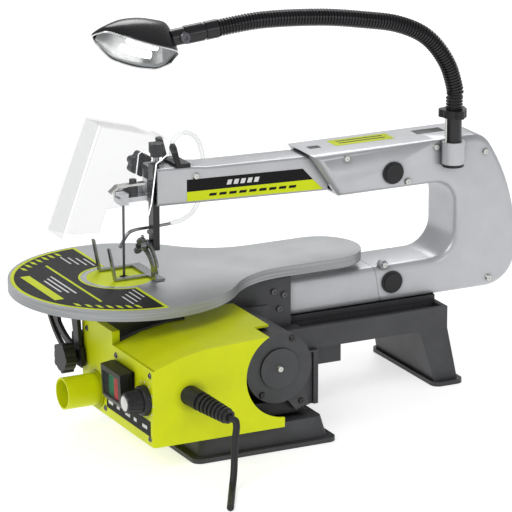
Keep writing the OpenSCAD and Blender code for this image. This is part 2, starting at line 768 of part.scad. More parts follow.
cord_start = [housing_x[1], -10, 81];
cord_dir = unit([55, 20, -11]);
cord_r = 3.9;
boot_length = 60;
module strain_relief() {
    yaw = atan2(cord_dir[1], cord_dir[0]);
    pitch = acos(cord_dir[2]);
    color(black) difference() {
        translate(cord_start) rotate([0, pitch, yaw]) difference() {
            union() {
                translate([0, 0, -6]) cylinder(r = 11, h = 22);
                cylinder(r1 = 9, r2 = 7.6, h = boot_length);
                for (i = [0:6]) translate([0, 0, 20 + i * 5.4]) cylinder(r = 10.8 - i * 0.3, h = 3);
            }
            translate([0, 0, -8]) cylinder(r = cord_r + 0.9, h = 75);
        }
        block([housing_x[1] - 30, housing_x[1]], [-40, 20], [50, 110]);
    }
}
module power_cord() {
    boot_end = cord_start + boot_length * cord_dir;
    path = concat([cord_start + 4 * cord_dir], [boot_end, boot_end + 10 * cord_dir + [0, 0, -3]],
        [[262, 8, 46], [272, 2, 20], [284, -6, cord_r + 0.6], [310, -20, cord_r], [334, -33, cord_r]]);
    color(black) sweep(spline(path, 6), cord_r, [0, 1, 0.05], 14);
}
strain_relief();
power_cord();

// ---- Lamp ----

stem_x = lamp_x + 1;
module lamp_stem() {
    color(black) {
        rod_along_z(6, [frame_top - 21.5, frame_top], stem_x, lamp_y);
        rod_along_z(9, [frame_top - 0.9, zt + 158], stem_x, lamp_y);
    }
}
module lamp_nut() {
    color(black) translate([stem_x, lamp_y, zt + 148.2]) difference() {
        lobed_knob(18, 9, 3, 6);
        translate([0, 0, -cut]) cylinder(r = 9 + run_gap, h = 12);
    }
}
neck_path = spline([[stem_x, lamp_y, zt + 160], [stem_x, lamp_y, zt + 171], [stem_x, lamp_y, zt + 182],
    [43, 385, zt + 214], [41, 361, zt + 244], [37, 326, zt + 262], [32, 282, zt + 271],
    [25, 232, zt + 277.5], [17.5, 164, zt + 280], [10, 112, zt + 274.5]], 5);
neck_end = neck_path[len(neck_path) - 1];
neck_dir = unit(neck_end - neck_path[len(neck_path) - 3]);
module gooseneck() {
    color(black) sweep(neck_path, 9.6, [1, 0, 0], 16);
}
// Places its children on the neck's end, looking along it
module on_neck_end() {
    translate(neck_end) rotate([0, acos(neck_dir[2]), atan2(neck_dir[1], neck_dir[0])]) children();
}
collar_length = 38;
module lamp_collar() {
    color(black) on_neck_end() {
        translate([0, 0, 0.1]) cylinder(r = 10.5, h = 14);
        translate([0, 0, 14]) cylinder(r = 9, h = 3);
        translate([0, 0, 17]) cylinder(r = 10.5, h = collar_length - 17);
    }
}
head_start = neck_end + (collar_length + 1.2) * neck_dir;
head_roll = 35;
// Head shape in its own frame: along +Z from the collar, open towards +X
module head_solid(d) {
    hull() {
        translate([-2, 0, 8]) scale([1, 1.25, 0.5]) sphere(r = 15 - d, $fn = 32);
        translate([1, 0, 44]) scale([0.8, 1.2, 1.3]) sphere(r = 25 - d, $fn = 32);
        translate([4, 0, 98]) scale([0.5, 1, 1]) sphere(r = 13 - d, $fn = 32);
    }
}
module lamp_frame() {
    translate(head_start) rotate([0, 0, -90]) rotate([0, 90, 0]) rotate([0, 0, head_roll]) children();
}
module lamp_head() {
    color(black) lamp_frame() difference() {
        head_solid(0);
        head_solid(2.2);
        translate([6, -60, 14]) cube([60, 120, 120]);
        translate([-60, -60, -30]) cube([120, 120, 30]);
    }
}
module lamp_lens() {
    color([0.95, 0.95, 0.92]) lamp_frame() intersection() {
        head_solid(2.6);
        translate([0.5, -60, 18]) cube([5, 120, 120]);
    }
}
lamp_stem();
lamp_nut();
gooseneck();
lamp_collar();
lamp_head();
lamp_lens();

// ---- Table ----

// Plan of the table: a round front, two hollow fillets and a rounded tail
module table_plan(d) {
    fillet_r = 100;
    fillet_x = tail_half_width + fillet_r;
    fillet_y = sqrt(pow(table_radius + fillet_r, 2) - pow(fillet_x, 2));
    a = atan2(fillet_y, fillet_x);
    right = concat(
        arc([0, 0], table_radius - d, -90, a, 40),
        arc([fillet_x, fillet_y], fillet_r + d, 180 + a, 180, 10),
        arc([0, table_tail - tail_half_width], tail_half_width - d, 0, 90, 12)
    );
    left = [for (i = [len(right) - 2:-1:1]) [-right[i][0], right[i][1]]];
    polygon(concat(right, left));
}
insert_c = [0, -5];
module table() {
    plate = 5;
    color([0.78, 0.79, 0.80]) difference() {
        union() {
            difference() {
                translate([0, 0, zt - table_rim]) linear_extrude(table_rim) table_plan(0);
                translate([0, 0, zt - table_rim - cut]) linear_extrude(table_rim - plate + cut)
                    table_plan(5);
            }
            rod_along_z(insert_radius + 6, [zt - 9, zt - 1], insert_c[0], insert_c[1]);
            difference() {
                rod_along_y(22, [149, 155], 0, zt);
                block([-30, 30], [140, 160], [zt - plate + eps, zt + 30]);
            }
        }
        rod_along_z(insert_radius + 0.2, [zt - 2.6, zt + cut], insert_c[0], insert_c[1]);
        rod_along_z(insert_radius - 5, [zt - 20, zt + cut], insert_c[0], insert_c[1]);
    }
}
module table_insert() {
    color(lime) difference() {
        rod_along_z(insert_radius, [zt - 2.6, zt - 0.2], insert_c[0], insert_c[1]);
        rod_along_z(5, [zt - 5, zt + cut], 0, 0);
    }
}
module bevel_scale() {
    ring = concat(arc([0, zt], bevel_r + 9, 205, 283, 24), arc([0, zt], bevel_r - 12, 283, 205, 24));
    slot = concat(arc([0, zt], bevel_r + 4.2, 219, 274, 20), arc([0, zt], bevel_r - 4.2, 274, 219, 20));
    color(charcoal) difference() {
        union() {
            slab_y([-62, -57.5]) polygon(ring);
            slab_y([-62, -57.5]) polygon([[-70, zt - 8], [-56, zt - 8], [-44, zt - 60], [-60, zt - 64]]);
            slab_y([-62, -57.5]) polygon([[-16, zt - 8], [4, zt - 8], [14, zt - 74], [2, zt - 76]]);
            block([-72, 6], [-62, -55], [zt - 8, zt - 5]);
        }
        slab_y([-64, -50]) polygon(slot);
    }
}
module bevel_lock_knob() {
    color(black) {
        translate([0, -62.6, zt - bevel_r]) rotate([90, 0, 0]) union() {
            cylinder(r = 7, h = 6);
            translate([0, 0, 3.5]) lobed_knob(18, 13.5, 5, 4.2);
        }
        rod_along_y(4, [-63, -46], 0, zt - bevel_r);
    }
}
table();
table_insert();
bevel_scale();
bevel_lock_knob();

// ---- Hold-down, guard and blower ----

module hold_down_post() {
    color(black) {
        block(post_x, post_y, [zt + 29, zt + 128]);
        rod_along_y(5, [24.4, post_y[0] + 1], sector_bolt[0], zt + sector_bolt[1]);
        rod_along_y(2.4, [12, 25], sector_bolt[0], zt + sector_bolt[1]);
        block([-7, post_x[0] + 1], [32, 36], [zt + 44, zt + 47.9]);
    }
}
module hold_down_foot() {
    a0 = 90 - atan2(sector_bolt[0], sector_bolt[1]);
    plate = concat(arc([0, zt], sector_r + 8, 92, 14, 16), arc([0, zt], sector_r - 9, 14, 92, 16));
    slot = concat(arc([0, zt], sector_r + 2.7, a0 + 5, a0 - 50, 14),
        arc([0, zt], sector_r - 2.7, a0 - 50, a0 + 5, 14));
    color(steel) difference() {
        union() {
            slab_y([22, 24.2]) polygon(plate);
            slab_y([22, 24.2]) polygon([[24, zt + 2.5], [24, zt + 18], [34, zt + 18], [36, zt + 2.5]]);
            block([-32, 36], [22, 34], [zt + 0.6, zt + 2.8]);
            for (x = [-32, 10]) {
                block([x, x + 6], [-18, 23], [zt + 0.6, zt + 2.8]);
                slab_x([x, x + 6]) polygon([[-18, zt + 0.6], [-25, zt + 38], [-23, zt + 38.6],
                    [-16, zt + 2.8]]);
            }
        }
        slab_y([20, 26]) polygon(slot);
    }
}
module wing_nut() {
    color(steel) translate([sector_bolt[0], 21.7, zt + sector_bolt[1]]) rotate([90, 0, 0]) difference() {
        union() {
            cylinder(r1 = 6, r2 = 4.5, h = 6);
            for (side = [-1, 1]) rotate([0, 0, 60]) translate([side * 7, 0, 6]) rotate([90, 0, 0])
                translate([0, 0, -1.3]) cylinder(r = 5, h = 2.6);
        }
        translate([0, 0, -cut]) cylinder(r = 2.4 + run_gap, h = 14);
    }
}
module post_lock_knob() {
    color(black) {
        translate([-25, 34, zt + 119]) rotate([0, -90, 0]) lobed_knob(14, 11, 6, 4.5);
        rod_along_x(2.3, [-26, post_x[0] - 0.1], 34, zt + 119);
    }
}
// Side outline of the clear guard, seen from the right
module guard_wing() {
    polygon([[-38, zt + 184], [22, zt + 167.5], [46, zt + 158], [60, zt + 152], [60, zt + 143],
        [46, zt + 141], [30, zt + 132], [24, zt + 88], [20, zt + 74], [-11, zt + 74],
        [-20, zt + 48], [-52, zt + 50], [-84, zt + 60]]);
}
module blade_guard() {
    w = guard_half_width;
    t = guard_sheet;
    inside = [[-34.6, zt + 181], [22, zt + 165.4], [60, zt + 150], [80, zt + 100], [20, zt + 30],
              [-78, zt + 30], [-81.7, zt + 60.5]];
    color([0.85, 0.90, 0.92, 0.35]) difference() {
        slab_x([-w, w]) guard_wing();
        slab_x([t - w, w - t]) polygon(inside);
        rod_along_x(2.1, [-w - cut, w + cut], guard_pin[0], guard_pin[1]);
        block([t - w, w - t], [40, 70], [zt + 140, zt + 157]);
    }
}
module guard_bracket() {
    color(black) difference() {
        union() {
            block([-19, 19], [57, 74], [nose_top - 3, nose_top + 2.5]);
            for (side = [-1, 1]) {
                lug = side > 0 ? [16, 19] : [-19, -16];
                slab_x(lug) polygon([[57.5, nose_top], [63, nose_top], [57, guard_pin[1]],
                    [55, guard_pin[1] + 4], [51, guard_pin[1] + 4], [49, guard_pin[1]]]);
                rod_along_x(2, side > 0 ? [18, 24.5] : [-24.5, -18], guard_pin[0], guard_pin[1]);
            }
        }
        slab_x([-21, 21]) arm_cover_outline(0);
    }
}
tube_path = spline([[-8, -1, zt + 31], [-8, 3, zt + 38], [-8, 10, zt + 47], [-8, 20, zt + 50],
    [-8, 36, zt + 50.5], [-8, 61, zt + 51.5]], 4);
module blower_tube() {
    color(steel) sweep(tube_path, 2, [1, 0, 0], 14);
}
module air_hose() {
    path = spline([[-8, 62, zt + 51.6], [-13, 80, zt + 53], [-24, 100, zt + 60], [-31, 113, zt + 84],
        [-31, 114, zt + 112], [-26, 104, zt + 140], [-17, 84, zt + 152], [-11, 68, zt + 147],
        [-9, 64, zt + 136], [-9, 64, zt + 127]], 5);
    color([0.85, 0.88, 0.88, 0.4]) sweep(path, 2.8, [1, 0.2, 0.1], 12);
}
hold_down_post();
hold_down_foot();
wing_nut();
post_lock_knob();
blade_guard();
guard_bracket();
blower_tube();
air_hose();
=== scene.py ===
import json
import math

import bmesh
import bpy
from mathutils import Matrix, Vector


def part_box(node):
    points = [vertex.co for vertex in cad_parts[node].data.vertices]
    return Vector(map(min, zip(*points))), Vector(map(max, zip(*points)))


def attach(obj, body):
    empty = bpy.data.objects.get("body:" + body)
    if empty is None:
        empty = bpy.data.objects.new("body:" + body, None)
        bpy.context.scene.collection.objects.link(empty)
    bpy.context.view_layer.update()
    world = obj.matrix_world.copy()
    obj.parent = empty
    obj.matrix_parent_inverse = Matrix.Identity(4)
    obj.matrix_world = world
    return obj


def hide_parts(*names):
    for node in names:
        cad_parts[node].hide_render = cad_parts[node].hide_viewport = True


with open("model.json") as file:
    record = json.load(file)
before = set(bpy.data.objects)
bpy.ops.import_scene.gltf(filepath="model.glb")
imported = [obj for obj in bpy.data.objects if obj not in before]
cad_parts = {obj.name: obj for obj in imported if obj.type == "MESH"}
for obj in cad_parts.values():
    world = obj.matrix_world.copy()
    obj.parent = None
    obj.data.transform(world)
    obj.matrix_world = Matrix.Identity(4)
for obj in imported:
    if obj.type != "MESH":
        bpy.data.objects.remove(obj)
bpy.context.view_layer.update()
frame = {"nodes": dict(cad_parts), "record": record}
nodes = frame["nodes"]
record = frame["record"]
body_of = {n: b for b, names in record["behaviour"]["bodies"].items() for n in names}

MM = 0.001
CAMERA_PLACE = (3.6918, -1.6917, 1.4108)
CAMERA_AIM = (0.0606, 0.1346, 0.1837)
CAMERA_LENS = 267.2

SILVER = (0.50, 0.51, 0.53)
LIME = (0.65, 0.72, 0.002)
LIME_BRIGHT = (0.66, 0.76, 0.012)
CHARCOAL = (0.045, 0.046, 0.050)
BLACK = (0.012, 0.012, 0.014)
GLOSS_BLACK = (0.006, 0.006, 0.008)
STEEL = (0.56, 0.57, 0.59)
RED = (0.50, 0.006, 0.008)
GREEN = (0.005, 0.20, 0.085)


# ---- Materials ----

def new_material(name):
    mat = bpy.data.materials.new(name)
    mat.use_nodes = True
    tree = mat.node_tree
    return mat, tree, tree.nodes["Principled BSDF"]


def noise(tree, scale, detail=4.0, stretch=None):
    coord = tree.nodes.new("ShaderNodeTexCoord")
    tex = tree.nodes.new("ShaderNodeTexNoise")
    tex.inputs["Scale"].default_value = scale
    tex.inputs["Detail"].default_value = detail
    if stretch:
        mapping = tree.nodes.new("ShaderNodeMapping")
        mapping.inputs["Scale"].default_value = stretch
        tree.links.new(coord.outputs["Object"], mapping.inputs["Vector"])
        tree.links.new(mapping.outputs["Vector"], tex.inputs["Vector"])
    else:
        tree.links.new(coord.outputs["Object"], tex.inputs["Vector"])
    return tex.outputs["Fac"]


def remap(tree, fac, low, high):
    node = tree.nodes.new("ShaderNodeMapRange")
    node.inputs["From Min"].default_value = 0.3
    node.inputs["From Max"].default_value = 0.7
    node.inputs["To Min"].default_value = low
    node.inputs["To Max"].default_value = high
    tree.links.new(fac, node.inputs["Value"])
    return node.outputs["Result"]


def two_tone(tree, fac, low, high):
    ramp = tree.nodes.new("ShaderNodeValToRGB")
    ramp.color_ramp.elements[0].position = 0.35
    ramp.color_ramp.elements[0].color = (*low, 1)
    ramp.color_ramp.elements[1].position = 0.65
    ramp.color_ramp.elements[1].color = (*high, 1)
    tree.links.new(fac, ramp.inputs["Fac"])
    return ramp.outputs["Color"]


def shade(color, k):
    return tuple(min(1.0, c * k) for c in color)


def paint_corner_shade(tree, color, reach):
    """Painted shade: darkens the colour where surfaces come close, as shade falls in corners and creases."""
    occlusion = tree.nodes.new("ShaderNodeAmbientOcclusion")
    occlusion.inputs["Distance"].default_value = reach
    occlusion.samples = 4
    tree.links.new(color, occlusion.inputs["Color"])
    return occlusion.outputs["Color"]


def surface(name, color, rough=0.4, metal=0.0, grain=900.0, bump=0.08, vary=0.05, coat=0.0,
            stretch=None, reach=0.0, shine=0.5):
    """A painted, moulded or metal surface with fine grain, uneven gloss, slight colour drift and painted
    corner shade.
    """
    mat, tree, bsdf = new_material(name)
    tone = two_tone(tree, noise(tree, 35.0, 5.0), shade(color, 1 - vary), shade(color, 1 + vary))
    # painted shade: with reach, the colour is darkened in corners and creases
    if reach:
        tone = paint_corner_shade(tree, tone, reach)
    tree.links.new(tone, bsdf.inputs["Base Color"])
    fine = noise(tree, grain, 3.0, stretch)
    tree.links.new(remap(tree, fine, rough * 0.85, rough * 1.18), bsdf.inputs["Roughness"])
    bumps = tree.nodes.new("ShaderNodeBump")
    bumps.inputs["Strength"].default_value = bump
    bumps.inputs["Distance"].default_value = 0.0004
    tree.links.new(fine, bumps.inputs["Height"])
    tree.links.new(bumps.outputs["Normal"], bsdf.inputs["Normal"])
    bsdf.inputs["Metallic"].default_value = metal
    bsdf.inputs["Specular IOR Level"].default_value = shine
    bsdf.inputs["Coat Weight"].default_value = coat
    bsdf.inputs["Coat Roughness"].default_value = 0.12
    return mat


def clear_sheet(name, tint, body, rough=0.08, edge=0.55, shine=0.5):
    """Thin clear plastic: mostly see-through, milky where it is seen edge-on."""
    mat, tree, bsdf = new_material(name)
    bsdf.inputs["Base Color"].default_value = (*tint, 1)
    bsdf.inputs["Specular IOR Level"].default_value = shine
    tree.links.new(remap(tree, noise(tree, 260.0), rough * 0.6, rough * 1.6), bsdf.inputs["Roughness"])
    clear = tree.nodes.new("ShaderNodeBsdfTransparent")
    mix = tree.nodes.new("ShaderNodeMixShader")
    rim = tree.nodes.new("ShaderNodeLayerWeight")
    rim.inputs["Blend"].default_value = 0.35
    span = tree.nodes.new("ShaderNodeMapRange")
    span.inputs["To Min"].default_value = body
    span.inputs["To Max"].default_value = edge
    tree.links.new(rim.outputs["Facing"], span.inputs["Value"])
    tree.links.new(span.outputs["Result"], mix.inputs["Fac"])
    tree.links.new(clear.outputs["BSDF"], mix.inputs[1])
    tree.links.new(bsdf.outputs["BSDF"], mix.inputs[2])
    tree.links.new(mix.outputs["Shader"], tree.nodes["Material Output"].inputs["Surface"])
    return mat


def glowing(name, color, strength):
    mat, tree, bsdf = new_material(name)
    tone = two_tone(tree, noise(tree, 160.0), shade(color, 0.85), color)
    tree.links.new(tone, bsdf.inputs["Base Color"])
    tree.links.new(tone, bsdf.inputs["Emission Color"])
    bsdf.inputs["Emission Strength"].default_value = strength
    bsdf.inputs["Roughness"].default_value = 0.3
    return mat


def facing_mask(tree, axis, level):
    """1 where the surface faces along axis (0, 1 or 2), either way, more than level."""
    geometry = tree.nodes.new("ShaderNodeNewGeometry")
    split = tree.nodes.new("ShaderNodeSeparateXYZ")
    tree.links.new(geometry.outputs["True Normal"], split.inputs["Vector"])
    size = tree.nodes.new("ShaderNodeMath")
    size.operation = "ABSOLUTE"
    tree.links.new(split.outputs[axis], size.inputs[0])
    over = tree.nodes.new("ShaderNodeMath")
    over.operation = "GREATER_THAN"
    over.inputs[1].default_value = level
    tree.links.new(size.outputs[0], over.inputs[0])
    return over.outputs[0]


def mix_color(tree, fac, low, high):
    mix = tree.nodes.new("ShaderNodeMix")
    mix.data_type = "RGBA"
    tree.links.new(fac, mix.inputs["Factor"])
    for socket, value in ((mix.inputs[6], low), (mix.inputs[7], high)):
        if isinstance(value, tuple):
            socket.default_value = (*value, 1)
        else:
            tree.links.new(value, socket)
    return mix.outputs[2]


def table_metal(name):
    """The table: a satin sanded top with soft mottling, and a rim with fine lathe streaks whose side faces
    are painted darker as shade.
    """
    mat, tree, bsdf = new_material(name)
    # Painted shade: faces that do not point up or down take the darker rim colour.
    top = facing_mask(tree, 2, 0.6)
    sanded = two_tone(tree, noise(tree, 18.0, 6.0), (0.35, 0.36, 0.37), (0.40, 0.41, 0.42))
    rim_tone_with_painted_shade = two_tone(tree, noise(tree, 8.0, 3.0, (1.0, 1.0, 60.0)), (0.27, 0.28, 0.29),
                      (0.36, 0.37, 0.38))
    tree.links.new(mix_color(tree, top, rim_tone_with_painted_shade, sanded), bsdf.inputs["Base Color"])
    grain = noise(tree, 1400.0, 4.0)
    tree.links.new(remap(tree, grain, 0.36, 0.46), bsdf.inputs["Roughness"])
    bumps = tree.nodes.new("ShaderNodeBump")
    bumps.inputs["Strength"].default_value = 0.12
    bumps.inputs["Distance"].default_value = 0.0003
    tree.links.new(grain, bumps.inputs["Height"])
    tree.links.new(bumps.outputs["Normal"], bsdf.inputs["Normal"])
    bsdf.inputs["Metallic"].default_value = 0.55
    return mat


def end_screws(name):
    """Black screws round the motor's end cover and a bright one in its middle."""
    mat, tree, bsdf = new_material(name)
    low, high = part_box("motor_rotor")
    coord = tree.nodes.new("ShaderNodeTexCoord")
    split = tree.nodes.new("ShaderNodeSeparateXYZ")
    tree.links.new(coord.outputs["Object"], split.inputs["Vector"])
    gap = tree.nodes.new("ShaderNodeMath")
    gap.operation = "COMPARE"
    gap.inputs[1].default_value = (low[1] + high[1]) / 2
    gap.inputs[2].default_value = 6 * MM
    tree.links.new(split.outputs[1], gap.inputs[0])
    tone = mix_color(tree, gap.outputs[0], (0.02, 0.02, 0.022), (0.62, 0.62, 0.60))
    tree.links.new(tone, bsdf.inputs["Base Color"])
    tree.links.new(remap(tree, noise(tree, 700.0), 0.25, 0.4), bsdf.inputs["Roughness"])
    tree.links.new(gap.outputs[0], bsdf.inputs["Metallic"])
    return mat


def make_materials():
    """Every material. A surface's numbers are roughness, metal, grain, bump, colour drift and coat."""
    return {
        # reach paints shade into the corners and creases of the silver, lime and casting colours
        "silver": surface("silver_paint", SILVER, 0.36, 0.35, 1500.0, 0.10, 0.03, 0.25, reach=0.012),
        "lime": surface("lime_paint", LIME, 0.42, 0.0, 1300.0, 0.12, 0.03, 0.08, reach=0.010, shine=0.2),
        "lime_flat": surface("lime_print", LIME_BRIGHT, 0.5, 0.0, 700.0, 0.03, 0.03, shine=0.15),
        "casting": surface("charcoal_casting", CHARCOAL, 0.52, 0.0, 1100.0, 0.35, 0.14, 0.05, reach=0.014),
        "black": surface("black_plastic", BLACK, 0.42, 0.0, 1600.0, 0.16, 0.12, shine=0.35),
        "gloss": surface("gloss_black", GLOSS_BLACK, 0.26, 0.0, 900.0, 0.03, 0.12, 0.15, shine=0.4),
        "print": surface("black_print", (0.006, 0.006, 0.007), 0.5, 0.0, 700.0, 0.03, 0.08, shine=0.15),
        "steel": surface("steel", STEEL, 0.30, 1.0, 500.0, 0.10, 0.06, 0.0, (1.0, 1.0, 12.0)),
        "zinc": surface("zinc", (0.62, 0.62, 0.60), 0.28, 1.0, 600.0, 0.10, 0.10),
        "chrome": surface("rim_chrome", (0.82, 0.83, 0.85), 0.10, 1.0, 300.0, 0.04, 0.03),
        "reflector": surface("reflector_dull", (0.30, 0.31, 0.32), 0.44, 1.0, 300.0, 0.04, 0.05),
        "foot": surface("foot_steel", (0.30, 0.31, 0.32), 0.24, 0.85, 500.0, 0.08, 0.06),
        "dark_steel": surface("dark_steel", (0.10, 0.10, 0.11), 0.30, 0.9, 600.0, 0.12, 0.10),
        "table": table_metal("table_machined"),
        "rubber": surface("cord_rubber", (0.010, 0.010, 0.011), 0.55, 0.0, 1400.0, 0.20, 0.10),
        "red": surface("red_button", RED, 0.40, 0.0, 700.0, 0.04, 0.05, 0.05, shine=0.15),
        "green": surface("green_button", GREEN, 0.40, 0.0, 700.0, 0.04, 0.05, 0.05, shine=0.15),
        "white": surface("white_print", (0.72, 0.73, 0.72), 0.45, 0.0, 700.0, 0.03, 0.03),
        "board": surface("board_green", (0.01, 0.07, 0.03), 0.4, 0.0, 900.0, 0.10, 0.2),
        "guard": clear_sheet("guard_clear", (0.30, 0.31, 0.32), 0.05, 0.10, 0.34, 0.25),
        "pane": clear_sheet("switch_pane", (0.20, 0.21, 0.22), 0.02, 0.06, 0.16, 0.1),
        # painted highlight: glowing white for the light caught on the clear guard's cut edges
        "edge": glowing("guard_edge_glint", (0.95, 0.96, 0.97), 0.9),
        "end_screws": end_screws("end_screws"),
        "lens": clear_sheet("lens_clear", (0.30, 0.31, 0.32), 0.03, 0.06, 0.12, 0.2),
        "hose": clear_sheet("hose_clear", (0.78, 0.81, 0.82), 0.16, 0.10, 0.62),
        "glow": glowing("lamp_glow", (1.0, 0.98, 0.94), 5.0),
    }


# ---- Mesh helpers ----

def set_smooth(mesh, angle=32.0):
    for poly in mesh.polygons:
        poly.use_smooth = True
    mesh.set_sharp_from_angle(angle=math.radians(angle))


def add_piece(name, mesh, material, body, angle=32.0):
    obj = bpy.data.objects.new(name, mesh)
    bpy.context.scene.collection.objects.link(obj)
    mesh.materials.clear()
    mesh.materials.append(material)
    set_smooth(mesh, angle)
    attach(obj, body)
    return obj


def mesh_of(name, verts, faces):
    mesh = bpy.data.meshes.new(name)
    mesh.from_pydata([tuple(v) for v in verts], [], faces)
    bm = bmesh.new()
    bm.from_mesh(mesh)
    bmesh.ops.recalc_face_normals(bm, faces=bm.faces)
    bm.to_mesh(mesh)
    bm.free()
    return mesh


def prism(name, outline, axis, low, high, bevel=0.0):
    """A flat outline in the plane across axis (0, 1 or 2), thickened from low to high."""
    def place(p, t):
        other = [p[0], p[1]]
        return [t if k == axis else other.pop(0) for k in range(3)]
    n = len(outline)
    verts = [place(p, low) for p in outline] + [place(p, high) for p in outline]
    faces = [list(range(n))[::-1], list(range(n, 2 * n))]
    faces += [[i, (i + 1) % n, n + (i + 1) % n, n + i] for i in range(n)]
    mesh = mesh_of(name, verts, faces)
    if bevel:
        round_edges(mesh, bevel)
    return mesh


def shave(bm, inside):
    """Takes off a small lug: deletes the faces wholly inside a region and closes the hole."""
    gone = [f for f in bm.faces if all(inside(v.co) for v in f.verts)]
    bmesh.ops.delete(bm, geom=gone, context="FACES")
    bmesh.ops.holes_fill(bm, edges=[e for e in bm.edges if len(e.link_faces) == 1], sides=0)


def round_edges(mesh, width, segments=2, angle=30.0, chosen=None, clamp=True, cuts=(), shaved=None):
    """Rounds sharp edges. The mesh is first cut across at each y in cuts, so a round can stop there."""
    bm = bmesh.new()
    bm.from_mesh(mesh)
    bmesh.ops.remove_doubles(bm, verts=bm.verts, dist=1e-6)
    if shaved:
        shave(bm, shaved)
    bmesh.ops.dissolve_limit(bm, angle_limit=math.radians(1.0), verts=bm.verts, edges=bm.edges)
    for y in cuts:
        whole = bm.verts[:] + bm.edges[:] + bm.faces[:]
        bmesh.ops.bisect_plane(bm, geom=whole, plane_co=(0, y, 0), plane_no=(0, 1, 0))
    limit = math.radians(angle)
    edges = [e for e in bm.edges if len(e.link_faces) == 2 and e.calc_face_angle(0) > limit
             and (chosen is None or chosen(e.verts[0].co, e.verts[1].co))]
    bmesh.ops.bevel(bm, geom=edges, offset=width, segments=segments, profile=0.5, affect="EDGES",
                    clamp_overlap=clamp)
    bm.to_mesh(mesh)
    bm.free()


def box_piece(name, low, high, material, body, bevel):
    outline = [(low[1], low[2]), (high[1], low[2]), (high[1], high[2]), (low[1], high[2])]
    add_piece(name, prism(name, outline, 0, low[0], high[0], bevel), material, body)


def lathe(name, profile, centre, axis, sides=48):
    """Turns a profile of (radius, distance along axis) about an axis (0, 1 or 2) through centre."""
    verts, faces = [], []
    count = len(profile)
    u, v = [k for k in range(3) if k != axis]
    for i in range(sides):
        a = 2 * math.pi * i / sides
        for r, t in profile:
            p = list(centre)
            p[u] += r * math.cos(a)
            p[v] += r * math.sin(a)
            p[axis] += t
            verts.append(p)
    for i in range(sides):
        j = (i + 1) % sides
        for k in range(count - 1):
            faces.append([i * count + k, j * count + k, j * count + k + 1, i * count + k + 1])
    mesh = bpy.data.meshes.new(name)
    mesh.from_pydata([tuple(p) for p in verts], [], faces)
    bm = bmesh.new()
    bm.from_mesh(mesh)
    bmesh.ops.remove_doubles(bm, verts=bm.verts, dist=1e-7)
    bmesh.ops.holes_fill(bm, edges=[e for e in bm.edges if e.is_boundary])
    bmesh.ops.recalc_face_normals(bm, faces=bm.faces)
    bm.to_mesh(mesh)
    bm.free()
    return mesh


def smooth_path(points, steps):
    """A curve through the points, as a list of vectors."""
    pts = [Vector(p) for p in points]
    out = []
    for i in range(len(pts) - 1):
        a, b, c = pts[max(i - 1, 0)], pts[i], pts[i + 1]
        d = pts[min(i + 2, len(pts) - 1)]
        for s in range(steps):
            t = s / steps
            out.append(0.5 * (2 * b + (c - a) * t + (2 * a - 5 * b + 4 * c - d) * t * t
                              + (3 * b - 3 * c + d - a) * t ** 3))
    out.append(pts[-1])
    return out


def even_path(path, count):
    """The same curve with count points at equal distances."""
    lengths = [0.0]
    for a, b in zip(path, path[1:]):
        lengths.append(lengths[-1] + (b - a).length)
    out, k = [], 0
    for i in range(count):
        want = lengths[-1] * i / (count - 1)
        while k < len(path) - 2 and lengths[k + 1] < want:
            k += 1
        span = max(lengths[k + 1] - lengths[k], 1e-9)
        out.append(path[k].lerp(path[k + 1], (want - lengths[k]) / span))
    return out


def tube(name, path, radius, sides=20, hint=(1, 0, 0)):
    """A closed round tube along path; radius is a number or a function of the point's index."""
    verts, faces = [], []
    last = len(path) - 1
    for i, p in enumerate(path):
        t = (path[min(i + 1, last)] - path[max(i - 1, 0)]).normalized()
        u = t.cross(Vector(hint)).normalized()
        v = t.cross(u)
        r = radius(i) if callable(radius) else radius
        for k in range(sides):
            a = 2 * math.pi * k / sides
            verts.append(p + r * (math.cos(a) * u + math.sin(a) * v))
    for i in range(last):
        for k in range(sides):
            j = (k + 1) % sides
            faces.append([i * sides + k, i * sides + j, (i + 1) * sides + j, (i + 1) * sides + k])
    faces.append(list(range(sides))[::-1])
    faces.append([last * sides + k for k in range(sides)])
    return mesh_of(name, verts, faces)


def refined(node, width, segments, chosen, material, fine=0.5 * MM, cuts=(), shaved=None):
    """A copy of a CAD node with its chosen edges rounded wide, standing for the node."""
    mesh = nodes[node].data.copy()
    mesh.name = node + "_skin"
    round_edges(mesh, width, segments, 28.0, chosen, False, cuts, shaved)
    obj = add_piece(node + "_cast", mesh, material, body_of[node])
    mod = obj.modifiers.new("soft_edges", "BEVEL")
    mod.width = fine
    mod.segments = 2
    mod.limit_method = "ANGLE"
    mod.angle_limit = math.radians(40.0)
    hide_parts(node)


def dress(node, material, bevel, segments=2):
    """Paints a CAD node and softens its sharp edges."""
    obj = nodes[node]
    obj.data.materials.clear()
    obj.data.materials.append(material)
    if bevel:
        mod = obj.modifiers.new("soft_edges", "BEVEL")
        mod.width = bevel
        mod.segments = segments
        mod.limit_method = "ANGLE"
        mod.angle_limit = math.radians(35.0)
    for poly in obj.data.polygons:
        poly.use_smooth = True
    obj.data.set_sharp_from_angle(angle=math.radians(32.0))


# ---- Castings ----

RIM_ROUND = 8.0 * MM
NOSE_ROUND = 4.0 * MM
CAP_RADIUS = 13 * MM
BOSS_REACH = 20 * MM
# The screw lug on the throat's floor: its place from the lower pivot, and its size
LUG_FORWARD = 10 * MM
LUG_RISE = 21.5 * MM
LUG_RADIUS = 5.2 * MM
LUG_LENGTH = 8 * MM


